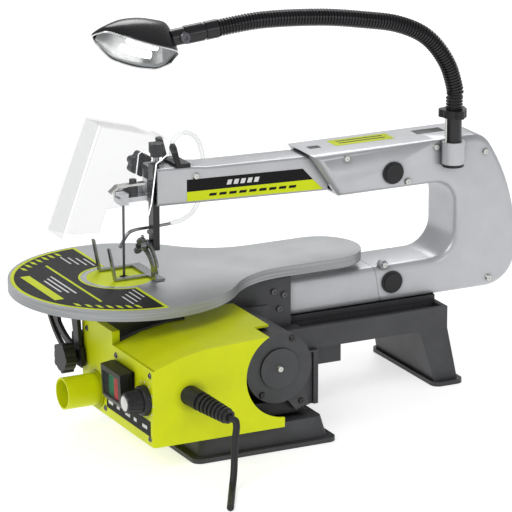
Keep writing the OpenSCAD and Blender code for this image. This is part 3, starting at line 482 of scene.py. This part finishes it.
def build_castings(mats):
    """Rounds the long outer rims of the cast halves and leaves the parting faces crisp."""
    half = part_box("frame_shell_left")[1][0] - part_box("frame_shell_left")[0][0]
    nose_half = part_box("arm_cover_left")[1][0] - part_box("arm_cover_left")[0][0]
    caps_low, caps_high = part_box("pivot_caps")
    pivot_y = (caps_low[1] + caps_high[1]) / 2
    pivots = (caps_low[2] + CAP_RADIUS, caps_high[2] - CAP_RADIUS)
    lower_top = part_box("lower_cover_right")[1][2]
    lower_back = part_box("lower_cover_right")[1][1]
    boss_reach = BOSS_REACH
    boss_y = sum(c[1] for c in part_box("lamp_stem")) / 2
    frame_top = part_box("frame_shell_left")[1][2]
    lug_y = pivot_y - LUG_FORWARD
    lug_z = pivots[0] + LUG_RISE

    def on_side(p, x):
        return abs(abs(p.x) - x) < 0.05 * MM

    def frame_rim(a, b):
        """Outer rims, apart from those at the pivots, the lamp boss and the joint with the cover."""
        if not (on_side(a, half) and on_side(b, half)):
            return False
        middle = (a + b) / 2
        for z in pivots:
            if math.hypot(middle.y - pivot_y, middle.z - z) < 12 * MM:
                return False
        if abs(middle.y - boss_y) < boss_reach and middle.z > frame_top - 40 * MM:
            return False
        return not (middle.y < lower_back + 3 * MM and lower_top - 41 * MM < middle.z < lower_top - 1 * MM)

    def nose_rim(a, b):
        return on_side(a, nose_half) and on_side(b, nose_half) and abs(a.y - b.y) > 5 * MM

    def cover_rim(a, b):
        return on_side(a, half) and on_side(b, half) and abs(a.y - b.y) > 50 * MM

    def on_lug(p):
        off_axis = math.hypot(p.y - lug_y, p.z - lug_z)
        return p.x > half - LUG_LENGTH - 0.1 * MM and off_axis < LUG_RADIUS + 0.1 * MM

    # the lug stands in the rim's round, so it comes off the casting and goes back on as its own piece
    beside_boss = (boss_y - boss_reach, boss_y + boss_reach)
    refined("frame_shell_right", RIM_ROUND, 5, frame_rim, mats["silver"], cuts=beside_boss, shaved=on_lug)
    lug_end = LUG_LENGTH - 0.5 * MM
    lug = [(0.1 * MM, 0), (LUG_RADIUS, 0), (LUG_RADIUS, lug_end - 0.5 * MM),
           (LUG_RADIUS - 0.5 * MM, lug_end), (0.1 * MM, lug_end)]
    add_piece("frame_lug", lathe("frame_lug", lug, (half - LUG_LENGTH, lug_y, lug_z), 0, 32), mats["silver"],
              "chassis")
    # the left half has no lamp boss, so its rim is rounded all along
    boss_reach = 0.0
    refined("frame_shell_left", RIM_ROUND, 5, frame_rim, mats["silver"])
    for node in ("arm_cover_right", "arm_cover_left"):
        refined(node, NOSE_ROUND, 4, nose_rim, mats["silver"])
    for node in ("lower_cover_right", "lower_cover_left"):
        refined(node, RIM_ROUND, 5, cover_rim, mats["silver"], 0.3 * MM)


# On the frame's top face: the vents and the label, each as two (x, y) corners
VENTS = {"vent_front": ((-0.006, 0.232), (0.004, 0.246)), "vent_rear": ((-0.014, 0.372), (0.002, 0.408))}
TOP_LABEL = ((-0.018, 0.264), (0.006, 0.340))
# The table bracket's screws, as (y, z)
BRACKET_SCREWS = ((0.165, 0.133), (0.172, 0.112), (0.178, 0.128))


def build_top_marks(mats):
    """Vents and a plain label on the frame's top face."""
    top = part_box("frame_shell_left")[1][2]
    z0, z1 = top - 0.3 * MM, top + 0.3 * MM
    for name, (a, b) in VENTS.items():
        box_piece(name, (*a, z0), (*b, z1), mats["black"], "chassis", 0.0003)
    (x0, y0), (x1, y1) = TOP_LABEL
    box_piece("top_label", (x0, y0, z0), (x1, y1, z1), mats["lime_flat"], "chassis", 0.0002)
    border = 8 * MM
    for k in range(2):
        x = x0 + 6 * MM + k * 8 * MM
        low, high = (x, y0 + border, z1 - 0.1 * MM), (x + 2.5 * MM, y1 - border, z1 + 0.15 * MM)
        box_piece(f"top_mark_{k}", low, high, mats["print"], "chassis", 0.0001)


def build_boss_trim(mats):
    """Black ring under the lamp boss and the thin steel stay beside the stem."""
    s_low, s_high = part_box("lamp_stem")
    cx, cy = (s_low[0] + s_high[0]) / 2, (s_low[1] + s_high[1]) / 2
    ring_z = s_low[2] - 9 * MM
    ring = lathe("boss_ring", [(0.1 * MM, 0), (12.6 * MM, 0), (12.6 * MM, 4 * MM), (0.1 * MM, 4 * MM)],
                 (cx - 1 * MM, cy, ring_z), 2, 40)
    add_piece("boss_ring", ring, mats["black"], "chassis")
    stay = [Vector((cx + 2 * MM, cy - 11.5 * MM, z)) for z in (s_low[2] + 18 * MM, s_high[2] - 9 * MM)]
    add_piece("stem_stay", tube("stem_stay", stay, 1.3 * MM, 12), mats["zinc"], "chassis")


def build_bracket_screws(mats):
    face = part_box("table_bracket")[1][0]
    head = [(0.05 * MM, 0), (3.6 * MM, 0), (3.2 * MM, 2.0 * MM), (1.4 * MM, 2.2 * MM), (1.2 * MM, 1.2 * MM),
            (0.05 * MM, 1.2 * MM)]
    for k, (y, z) in enumerate(BRACKET_SCREWS):
        add_piece(f"bracket_screw_{k}", lathe("screw", head, (face, y, z), 0, 28), mats["dark_steel"],
                  "chassis")


# The arm label's strips: name, material, slot and corners, as (y, height over the table)
LABEL_STRIPS = (
    ("arm_label_black", "print", "black_plastic",
     ((0.069, 0.094), (0.069, 0.108), (0.214, 0.103), (0.227, 0.089))),
    ("arm_label_lime", "lime_flat", "lime_plastic",
     ((0.069, 0.083), (0.069, 0.094), (0.227, 0.089), (0.240, 0.076))),
)
# Rows of bars on it: name, count, first (y, height), step (along, down), size (wide, tall), material
LABEL_ROWS = (
    ("arm_mark", 5, (0.118, 0.0965), (0.0085, 0.0003), (0.0055, 0.0055), "white"),
    ("arm_dash", 9, (0.096, 0.0862), (0.0125, 0.00046), (0.009, 0.0030), "print"),
)
LABEL_SLOPE = 0.036


def build_arm_label(mats):
    """Black over lime strip on the right side of the upper arm housing, with plain slanted bars."""
    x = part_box("arm_cover_right")[1][0]
    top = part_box("table")[1][2]
    for name, mat, slot, corners in LABEL_STRIPS:
        outline = [(y, top + z) for y, z in corners]
        add_piece(name, prism(name, outline, 0, x - 0.3 * MM, x + 0.25 * MM), mats[mat], "chassis")

    def slanted(name, y, z, wide, tall, mat):
        """A small slanted bar on the label."""
        lean = 0.35 * tall
        drop = LABEL_SLOPE * wide
        outline = [(y, z), (y + wide, z - drop), (y + wide + lean, z - drop + tall), (y + lean, z + tall)]
        add_piece(name, prism(name, outline, 0, x, x + 0.4 * MM), mats[mat], "chassis")

    for name, count, (y, z), (along, down), (wide, tall), mat in LABEL_ROWS:
        for k in range(count):
            slanted(f"{name}_{k}", y + k * along, top + z - k * down, wide, tall, mat)


# The painted shade block's outline behind its front edge, as (y, depth under the table's top)
SHADE_BLOCK_FRONT = (0.060, 0.041)
SHADE_BLOCK_REST = ((-0.020, 0.034), (0.010, 0.029), (0.034, 0.028), (0.034, 0.060))


def build_under_table_shade(mats):
    """Painted shade: a black block under the table, behind the front panel's raised corner, standing for the
    shade there.
    """
    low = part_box("motor_housing")[0]
    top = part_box("table")[1][2]
    outline = [(low[1] + 7 * MM, top - depth) for depth in SHADE_BLOCK_FRONT]
    outline += [(y, top - depth) for y, depth in SHADE_BLOCK_REST]
    add_piece("under_table_shade", prism("under_table_shade", outline, 0, low[0] + 2 * MM, low[0] + 75 * MM, 1.0 * MM),
              mats["black"], "chassis")


# ---- Table ----

def arc_points(cx, cy, r, a0, a1, n):
    return [(cx + r * math.cos(math.radians(a0 + (a1 - a0) * i / n)),
             cy + r * math.sin(math.radians(a0 + (a1 - a0) * i / n))) for i in range(n + 1)]


# The overlay starts under the table's surface, and its layers end this far over it
OVERLAY_SINK = 0.05 * MM
BORDER_LIFT = 0.12 * MM
FIELD_LIFT = 0.22 * MM
PRINT_LIFT = 0.32 * MM


def build_table(mats):
    """Machined table with the printed overlay on its front half and the insert's ring."""
    dress("table", mats["table"], 0.0009, 3)
    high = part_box("table")[1]
    top = high[2]
    radius = high[0]
    i_low, i_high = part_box("table_insert")
    hole_r = (i_high[0] - i_low[0]) / 2 + 1.2 * MM
    hole_y = (i_high[1] + i_low[1]) / 2
    edge_y = -4 * MM
    outer = radius - 3 * MM
    inner = outer - 4 * MM

    def front_field(r, y_line, hole):
        a = math.degrees(math.asin(y_line / r))
        rim = arc_points(0, 0, r, 180 - a, 360 + a, 72)
        b = math.degrees(math.asin((y_line - hole_y) / hole))
        notch = arc_points(0, hole_y, hole, 360 + b, 180 - b, 40)
        return rim + notch

    z = top - OVERLAY_SINK
    field = prism("overlay_border", front_field(outer, edge_y, hole_r), 2, z, top + BORDER_LIFT)
    add_piece("overlay_border", field, mats["lime_flat"], "worktable")
    outline = front_field(inner, edge_y - 4 * MM, hole_r + 2.5 * MM)
    field = prism("overlay_black", outline, 2, z, top + FIELD_LIFT)
    add_piece("overlay_black", field, mats["print"], "worktable")

    def patch(name, outline, mat):
        add_piece(name, prism(name, outline, 2, z, top + PRINT_LIFT), mats[mat], "worktable")

    def quad(cx, cy, w, h, skew=0.0):
        return [(cx - w / 2 - skew, cy - h / 2), (cx + w / 2 - skew, cy - h / 2),
                (cx + w / 2 + skew, cy + h / 2), (cx - w / 2 + skew, cy + h / 2)]

    patch("overlay_stripe", quad(0, -62 * MM, 150 * MM, 3 * MM), "lime_flat")
    patch("overlay_bar", quad(0, -100 * MM, 96 * MM, 11 * MM), "lime_flat")
    for side in (-1, 1):
        for k in range(7):
            cy = -90 * MM + k * 9.5 * MM
            reach = math.sqrt(max(inner ** 2 - cy ** 2, 0)) - 10 * MM
            name = f"overlay_hatch_{'l' if side < 0 else 'r'}{k}"
            patch(name, quad(side * reach, cy, 10 * MM, 4 * MM, 2.5 * MM), "lime_flat")
    # plain bars: a stepped group at each side, and a shorter and shorter group in the middle
    for k in range(4):
        cy = -34 * MM + k * 7 * MM
        patch(f"overlay_mark_{k}", quad((-84 + k * 6) * MM, cy, 30 * MM, 1.8 * MM), "white")
        patch(f"overlay_mark_{k + 4}", quad((84 - k * 6) * MM, cy, 30 * MM, 1.8 * MM), "white")
    for k in range(3):
        outline = quad(0, (-74 - k * 6.5) * MM, (70 - 12 * k) * MM, 2.2 * MM)
        patch(f"overlay_mark_{k + 8}", outline, "white")
    dress("table_insert", mats["lime_flat"], 0.0003)
    edge = hole_r - 1.4 * MM
    ring = lathe("insert_ring", [(edge, 0), (edge, 0.3 * MM), (edge - 5 * MM, 0.3 * MM), (edge - 5 * MM, 0)],
                 (0, hole_y, i_high[2] - 0.05 * MM), 2, 72)
    add_piece("insert_ring", ring, mats["table"], "worktable")


# ---- Lamp ----

# The neck's course from the top of the lamp stem, in mm
NECK_RISE = [(0, 0, 0), (0, 0, 12), (0, 0, 24), (-1, -11, 56), (-3, -35, 86), (-7, -70, 104),
             (-12, -114, 113), (-19, -164, 119.5), (-26.5, -232, 122), (-34, -284, 116.5)]
RIBS = 100
COLLAR_RADIUS = 10.4 * MM
SHELL_SIDES = 26


def build_gooseneck(mats):
    """Corrugated neck rising from the lamp stem and arching forward."""
    low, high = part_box("lamp_stem")
    start = Vector(((low[0] + high[0]) / 2, (low[1] + high[1]) / 2, high[2]))
    path = even_path(smooth_path([start + Vector(p) * MM for p in NECK_RISE], 24), RIBS * 4 + 1)

    def ribbed(i):
        return (9.9 if i % 4 in (1, 2) else 8.5) * MM

    obj = add_piece("gooseneck_ribs", tube("gooseneck_ribs", path, ribbed, 24), mats["gloss"], "lamp",
                    20.0)
    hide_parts("gooseneck")


# Along the lamp head: share of its length, half width, crown height and rise of the rim, in mm
HEAD_STATIONS = [(0.0, 12, 40, 0), (0.05, 20, 44, 0.2), (0.15, 27.5, 46, 0.6), (0.35, 30, 45, 5.7),
                 (0.55, 30, 38, 13.0), (0.70, 28, 29, 19.8), (0.88, 18, 12, 31.7), (0.96, 9, 6, 34.8),
                 (1.0, 3, 3, 35.7)]
HEAD_LENGTH = 100 * MM
HEAD_BEHIND = 9.5 * MM
RIM_DROP = 25 * MM
HEAD_ROLL = math.radians(-36.0)


def loft(name, loops):
    """A closed skin through loops of equal length, capped at both ends."""
    n = len(loops[0])
    last = len(loops) - 1
    faces = [[i * n + k, i * n + (k + 1) % n, (i + 1) * n + (k + 1) % n, (i + 1) * n + k]
             for i in range(last) for k in range(n)]
    faces += [list(range(n))[::-1], [last * n + k for k in range(n)]]
    return mesh_of(name, [p for loop in loops for p in loop], faces)


def build_lamp_head(mats):
    """Glossy hood with a bright reflector, two light bars and a clear lens below."""
    c_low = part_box("lamp_collar")[0]
    end = Vector((c_low[0] + COLLAR_RADIUS, c_low[1], c_low[2] + COLLAR_RADIUS))
    back = end.y - HEAD_BEHIND
    rim_z = end.z - RIM_DROP
    rings = smooth_path(HEAD_STATIONS, 4)

    def place(ring, x, z):
        xr = x * math.cos(HEAD_ROLL) + z * math.sin(HEAD_ROLL)
        zr = -x * math.sin(HEAD_ROLL) + z * math.cos(HEAD_ROLL)
        return Vector((end.x + xr, back - ring[0] * HEAD_LENGTH, rim_z + ring[3] * MM + zr))

    def arch(ring, wide, tall, lift):
        angles = [math.pi * k / SHELL_SIDES for k in range(SHELL_SIDES + 1)]
        return [place(ring, wide * ring[1] * MM * math.cos(a),
                      tall * ring[2] * MM * max(0.0, math.sin(a)) ** 0.85 + lift) for a in angles]

    def shell(name, used, wide, tall, lift):
        """Half-round sections from rim to rim, open below and closed at both ends."""
        verts = [p for ring in used for p in arch(ring, wide, tall, lift)]
        n = len(verts) // len(used)
        last = len(used) - 1
        faces = [[i * n + k, i * n + k + 1, (i + 1) * n + k + 1, (i + 1) * n + k]
                 for i in range(last) for k in range(n - 1)]
        faces += [list(range(n))[::-1], [last * n + k for k in range(n)]]
        return mesh_of(name, verts, faces)

    hood = add_piece("lamp_hood", shell("lamp_hood", rings, 1.0, 1.0, 0.0), mats["gloss"], "lamp",
                     50.0)
    thick = hood.modifiers.new("wall", "SOLIDIFY")
    thick.thickness = 1.6 * MM
    thick.offset = -1
    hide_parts("lamp_head")
    inner = [r for r in rings if 0.05 < r[0] < 0.95]
    bowl = add_piece("lamp_reflector", shell("lamp_reflector", inner, 0.88, 0.62, 0.6 * MM),
                     mats["reflector"], "lamp", 60.0)
    bowl.modifiers.new("wall", "SOLIDIFY").thickness = 0.6 * MM
    rim_path = [place(r, 0.99 * r[1] * MM, 0) for r in rings]
    rim_path += [place(r, -0.99 * r[1] * MM, 0) for r in rings[::-1]]
    add_piece("lamp_rim", tube("lamp_rim", rim_path, 1.0 * MM, 8, (0.1, 0.2, 1)), mats["chrome"], "lamp",
              60.0)

    def lens_loop(ring):
        w = 0.93 * ring[1] * MM
        return [place(ring, -w, 0.8 * MM), place(ring, w, 0.8 * MM), place(ring, w, 1.8 * MM),
                place(ring, -w, 1.8 * MM)]

    lens = add_piece("lamp_lens_clear", loft("lamp_lens_clear", [lens_loop(r) for r in inner]), mats["lens"],
                     "lamp")
    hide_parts("lamp_lens")
    lit = [r for r in rings if 0.24 < r[0] < 0.62]
    for side in (-1, 1):
        line = [place(r, side * 0.38 * r[1] * MM, 9 * MM) for r in lit]
        bar = tube("lamp_bar", line, 4.5 * MM, 14, (0, 0, 1))
        add_piece("lamp_bar_near" if side > 0 else "lamp_bar_far", bar, mats["glow"], "lamp")
    # knuckle between the collar and the hood, with its screw
    knuckle = [end + Vector((0, 6 * MM, 0)), end + Vector((0, -8 * MM, -1 * MM)),
               end + Vector((0, -16 * MM, -2 * MM))]
    add_piece("lamp_knuckle", tube("lamp_knuckle", knuckle, 9.6 * MM, 28), mats["gloss"], "lamp")
    screw = lathe("lamp_knuckle_screw", [(0.1 * MM, 0), (6.5 * MM, 0), (6.5 * MM, 3 * MM), (5.6 * MM, 4 * MM),
                                         (2.4 * MM, 4 * MM), (2.0 * MM, 3 * MM), (0.1 * MM, 3 * MM)],
                  (end.x + 7.6 * MM, end.y - 2 * MM, end.z - 0.5 * MM), 0, 32)
    add_piece("lamp_knuckle_screw", screw, mats["dark_steel"], "lamp")


# ---- Guard ----

# The rear edge of the guard's cheeks, as (y, height over the table)
GUARD_REAR = ((0.0455, 0.142), (0.0300, 0.132), (0.0240, 0.088), (0.0200, 0.074))


def build_guard_edge_glints(mats):
    """Painted highlight: glowing lines on the cut edges of the clear guard's two cheeks, for the light they
    catch.
    """
    low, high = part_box("blade_guard")
    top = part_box("table")[1][2]
    corners = {"rear": GUARD_REAR, "front": ((low[1], 0.060), (-0.038, high[2] - top))}
    for side, x in (("near", high[0] - 0.4 * MM), ("far", low[0] + 0.4 * MM)):
        for name, line in corners.items():
            path = [Vector((x, y, top + z)) for y, z in line]
            piece = f"guard_edge_glint_{name}_{side}"
            add_piece(piece, tube(piece, path, 0.7 * MM, 8), mats["edge"], "guard")


# ---- Controls ----

KNOB_RIBS = 14
DIAL_TICKS = 9
DIAL_RADIUS = 20.5 * MM
DIAL_FIRST = 215
DIAL_STEP = 31
TICK_HALF = 0.8 * MM


def build_speed_knob(mats):
    """Ribbed knob with a skirt, a bright cap and a pointer, and the ticks round it."""
    k_low, k_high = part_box("speed_knob")
    centre = ((k_low[0] + k_high[0]) / 2, k_high[1], (k_low[2] + k_high[2]) / 2)
    tip = k_low[1]
    profile = [(0.1 * MM, 0), (17 * MM, 0), (16.6 * MM, -5.5 * MM), (15.4 * MM, -7 * MM),
               (13 * MM, -7.2 * MM), (11.4 * MM, -22 * MM), (10.4 * MM, -24 * MM), (0.1 * MM, -24 * MM)]
    knob = add_piece("speed_knob_skirt", lathe("speed_knob_skirt", profile, centre, 1, 56), mats["black"],
                     "speed")
    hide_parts("speed_knob")

    def around(r, a, forward):
        return Vector((centre[0] + r * math.cos(a), centre[1] - forward, centre[2] + r * math.sin(a)))

    for k in range(KNOB_RIBS):
        a = 2 * math.pi * k / KNOB_RIBS
        path = [around(12.6 * MM, a, 8 * MM), around(11.2 * MM, a, 21.5 * MM)]
        add_piece(f"speed_knob_rib_{k}", tube("rib", path, 1.0 * MM, 8, (0.3, 0.2, 1)), mats["black"],
                  "speed")
    disc = [(0.05 * MM, 0), (8.6 * MM, 0), (8.6 * MM, -0.7 * MM), (7.8 * MM, -1.2 * MM),
            (0.05 * MM, -1.2 * MM)]
    cap = lathe("speed_knob_cap", disc, (centre[0], tip, centre[2]), 1, 40)
    add_piece("speed_knob_cap", cap, mats["zinc"], "speed")
    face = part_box("front_panel")[0][1]
    box_piece("speed_knob_pointer", (centre[0] - 1 * MM, tip - 1.5 * MM, centre[2] + 1.5 * MM),
              (centre[0] + 1 * MM, tip - 0.9 * MM, centre[2] + 8 * MM), mats["white"], "speed", 0.0002)
    for k in range(DIAL_TICKS):
        a = math.radians(DIAL_FIRST - k * DIAL_STEP)
        x = centre[0] + DIAL_RADIUS * math.cos(a)
        z = centre[2] + DIAL_RADIUS * math.sin(a)
        box_piece(f"dial_tick_{k}", (x - TICK_HALF, face - 0.75 * MM, z - TICK_HALF),
                  (x + TICK_HALF, face - 0.2 * MM, z + TICK_HALF), mats["white"], "chassis", 0.0001)


def build_panel_label(mats):
    """Black label plate with plain bars, across the panel under the switch and the knob."""
    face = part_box("front_panel")[0][1]
    s_low, s_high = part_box("switch_body")
    left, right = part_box("dust_port")[1][0] + 5 * MM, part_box("front_panel")[1][0] - 5 * MM
    low, high = s_low[2] - 19 * MM, s_low[2] - 2 * MM
    margin = 3 * MM
    plate = [(left, low), (right, low), (right, high), (s_high[0] + margin, high),
             (s_high[0] + margin, s_high[2] + margin), (s_low[0] - margin, s_high[2] + margin),
             (s_low[0] - margin, high), (left, high)]
    add_piece("panel_label", prism("panel_label", plate, 1, face - 0.5 * MM, face + 0.2 * MM), mats["print"],
              "chassis")
    for k in range(5):
        x = left + 5 * MM + k * 22 * MM
        wide = 7 * MM if k % 2 else 12 * MM
        box_piece(f"panel_mark_{k}", (x, face - 0.75 * MM, low + 6 * MM),
                  (x + wide, face - 0.3 * MM, low + 10 * MM), mats["white"], "chassis", 0.0001)


def build_switch(mats):
    """Green and red buttons, and the clear pane in the window of the hood over them."""
    for node, mat in (("on_button", "green"), ("off_button", "red")):
        dress(node, mats[mat], 0.0014, 3)
    s_low, s_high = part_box("switch_body")
    f_low, f_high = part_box("switch_cover")
    pane_y = f_low[1] + 1.0 * MM
    slope, thick = 1.6 * MM, 0.8 * MM
    low, high = f_low[2] + 6 * MM, f_high[2] - 7 * MM
    outline = [(pane_y + slope, low), (pane_y + slope + thick, low), (pane_y + thick, high), (pane_y, high)]
    add_piece("switch_pane", prism("switch_pane", outline, 0, s_low[0] + 2.5 * MM, s_high[0] - 3.5 * MM),
              mats["pane"], "flap")


def build_motor_shade_block(mats):
    """Painted shade: a black block under the motor, standing for the shade seen through the gap in the
    housing's side.
    """
    low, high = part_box("motor_can")
    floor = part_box("motor_bracket")[0][2]
    step, rise = 4 * MM, 21 * MM
    outline = [(low[1] - 6 * MM, floor + step), (high[1] - 2 * MM, floor + step),
               (high[1] - 14 * MM, floor + rise), (low[1] + step, floor + rise)]
    add_piece("motor_shade_block", prism("motor_shade_block", outline, 0, low[0] + 34 * MM, high[0] - 2 * MM, 0.8 * MM),
              mats["black"], "chassis")


# ---- Paint the rest ----

# Which CAD nodes take each material
PAINT = {
    "casting": ["base", "table_bracket", "motor_can", "motor_bracket", "motor_end_cover"],
    "steel": ["upper_arm", "lower_arm", "tension_rod", "upper_clamp", "lower_clamp",
              "motor_rotor", "eccentric", "connecting_rod",
              "motor_bearings", "speed_control", "pivot_bolts"],
    "foot": ["hold_down_foot", "wing_nut", "blower_tube"],
    "zinc": ["frame_screws", "clamp_lever"],
    "end_screws": ["motor_screws"],
    "dark_steel": ["blade", "panel_screws"],
    "black": ["pivot_caps", "tension_knob", "motor_fan", "switch_body", "bevel_scale",
              "bevel_lock_knob", "post_lock_knob", "guard_bracket", "lamp_nut", "clamp_screw",
              "switch_cover"],
    "gloss": ["lamp_stem", "lamp_collar", "hold_down_post"],
    "lime": ["motor_housing", "front_panel", "dust_port"],
    "rubber": ["strain_relief", "power_cord"],
    "board": ["control_board"],
    "hose": ["air_hose"],
    "guard": ["blade_guard"],
}
# Edge rounds that differ from the usual 0.5 mm, in metres
SOFT = {"base": 0.0018, "motor_housing": 0.0022, "front_panel": 0.0008, "motor_end_cover": 0.0014,
        "table_bracket": 0.0012, "motor_can": 0.0014, "blade": 0.0, "lower_arm": 0.001, "upper_arm": 0.001,
        "power_cord": 0.0, "air_hose": 0.0, "blower_tube": 0.0, "panel_screws": 0.0002, "blade_guard": 0.0004,
        "frame_screws": 0.0003, "motor_screws": 0.0003}


def paint_nodes(mats):
    for mat, names in PAINT.items():
        for name in names:
            dress(name, mats[mat], SOFT.get(name, 0.0005), 3 if SOFT.get(name, 0) > 0.001 else 2)


# ---- Studio ----

def look_at(obj, target):
    direction = Vector(target) - obj.location
    obj.rotation_euler = direction.to_track_quat("-Z", "Y").to_euler()


def add_area(name, place, aim, width, power):
    data = bpy.data.lights.new(name, "AREA")
    data.shape = "DISK"
    data.size = width
    data.energy = power
    obj = bpy.data.objects.new(name, data)
    obj.location = place
    bpy.context.scene.collection.objects.link(obj)
    look_at(obj, aim)


FLOOR_REACH = 9
FLOOR_DROP = 0.6 * MM
LIGHT_AIM = (0.04, 0.16, 0.15)
# Soft lamps: name, place, width and power
LIGHTS = (("key", (1.6, -2.4, 3.0), 2.0, 52), ("side", (3.2, 0.9, 1.3), 1.4, 12),
          ("back", (-2.4, 1.6, 2.6), 1.8, 38))


def build_studio():
    """Plain pale floor, white surroundings and three soft lamps."""
    floor_mat, tree, bsdf = new_material("floor_white")
    tone = two_tone(tree, noise(tree, 1.5), (0.60, 0.60, 0.60), (0.63, 0.63, 0.63))
    tree.links.new(tone, bsdf.inputs["Base Color"])
    bsdf.inputs["Roughness"].default_value = 0.7
    bsdf.inputs["Emission Color"].default_value = (1, 1, 1, 1)
    bsdf.inputs["Emission Strength"].default_value = 0.66
    around = ((-1, -1), (1, -1), (1, 1), (-1, 1))
    corners = [(x * FLOOR_REACH, y * FLOOR_REACH, -FLOOR_DROP) for x, y in around]
    mesh = mesh_of("floor", corners, [[0, 1, 2, 3]])
    mesh.materials.append(floor_mat)
    floor = bpy.data.objects.new("floor", mesh)
    bpy.context.scene.collection.objects.link(floor)
    world = bpy.data.worlds.new("studio")
    world.use_nodes = True
    tree = world.node_tree
    background = tree.nodes["Background"]
    background.inputs["Color"].default_value = (1.0, 1.0, 1.0, 1)
    path = tree.nodes.new("ShaderNodeLightPath")
    span = tree.nodes.new("ShaderNodeMapRange")
    span.inputs["To Min"].default_value = 0.42
    span.inputs["To Max"].default_value = 1.0
    tree.links.new(path.outputs["Is Camera Ray"], span.inputs["Value"])
    tree.links.new(span.outputs["Result"], background.inputs["Strength"])
    bpy.context.scene.world = world
    for name, place, width, power in LIGHTS:
        add_area(name, place, LIGHT_AIM, width, power)
    bpy.context.scene.view_settings.view_transform = "Standard"


def build_camera():
    data = bpy.data.cameras.new("camera")
    data.lens = CAMERA_LENS
    data.sensor_width = 36.0
    camera = bpy.data.objects.new("camera", data)
    camera.location = CAMERA_PLACE
    bpy.context.scene.collection.objects.link(camera)
    look_at(camera, CAMERA_AIM)
    bpy.context.scene.camera = camera


materials = make_materials()
paint_nodes(materials)
build_castings(materials)
build_top_marks(materials)
build_boss_trim(materials)
build_bracket_screws(materials)
build_arm_label(materials)
build_table(materials)
build_gooseneck(materials)
build_lamp_head(materials)
build_guard_edge_glints(materials)
build_motor_shade_block(materials)
build_under_table_shade(materials)
build_speed_knob(materials)
build_panel_label(materials)
build_switch(materials)
build_studio()
build_camera()
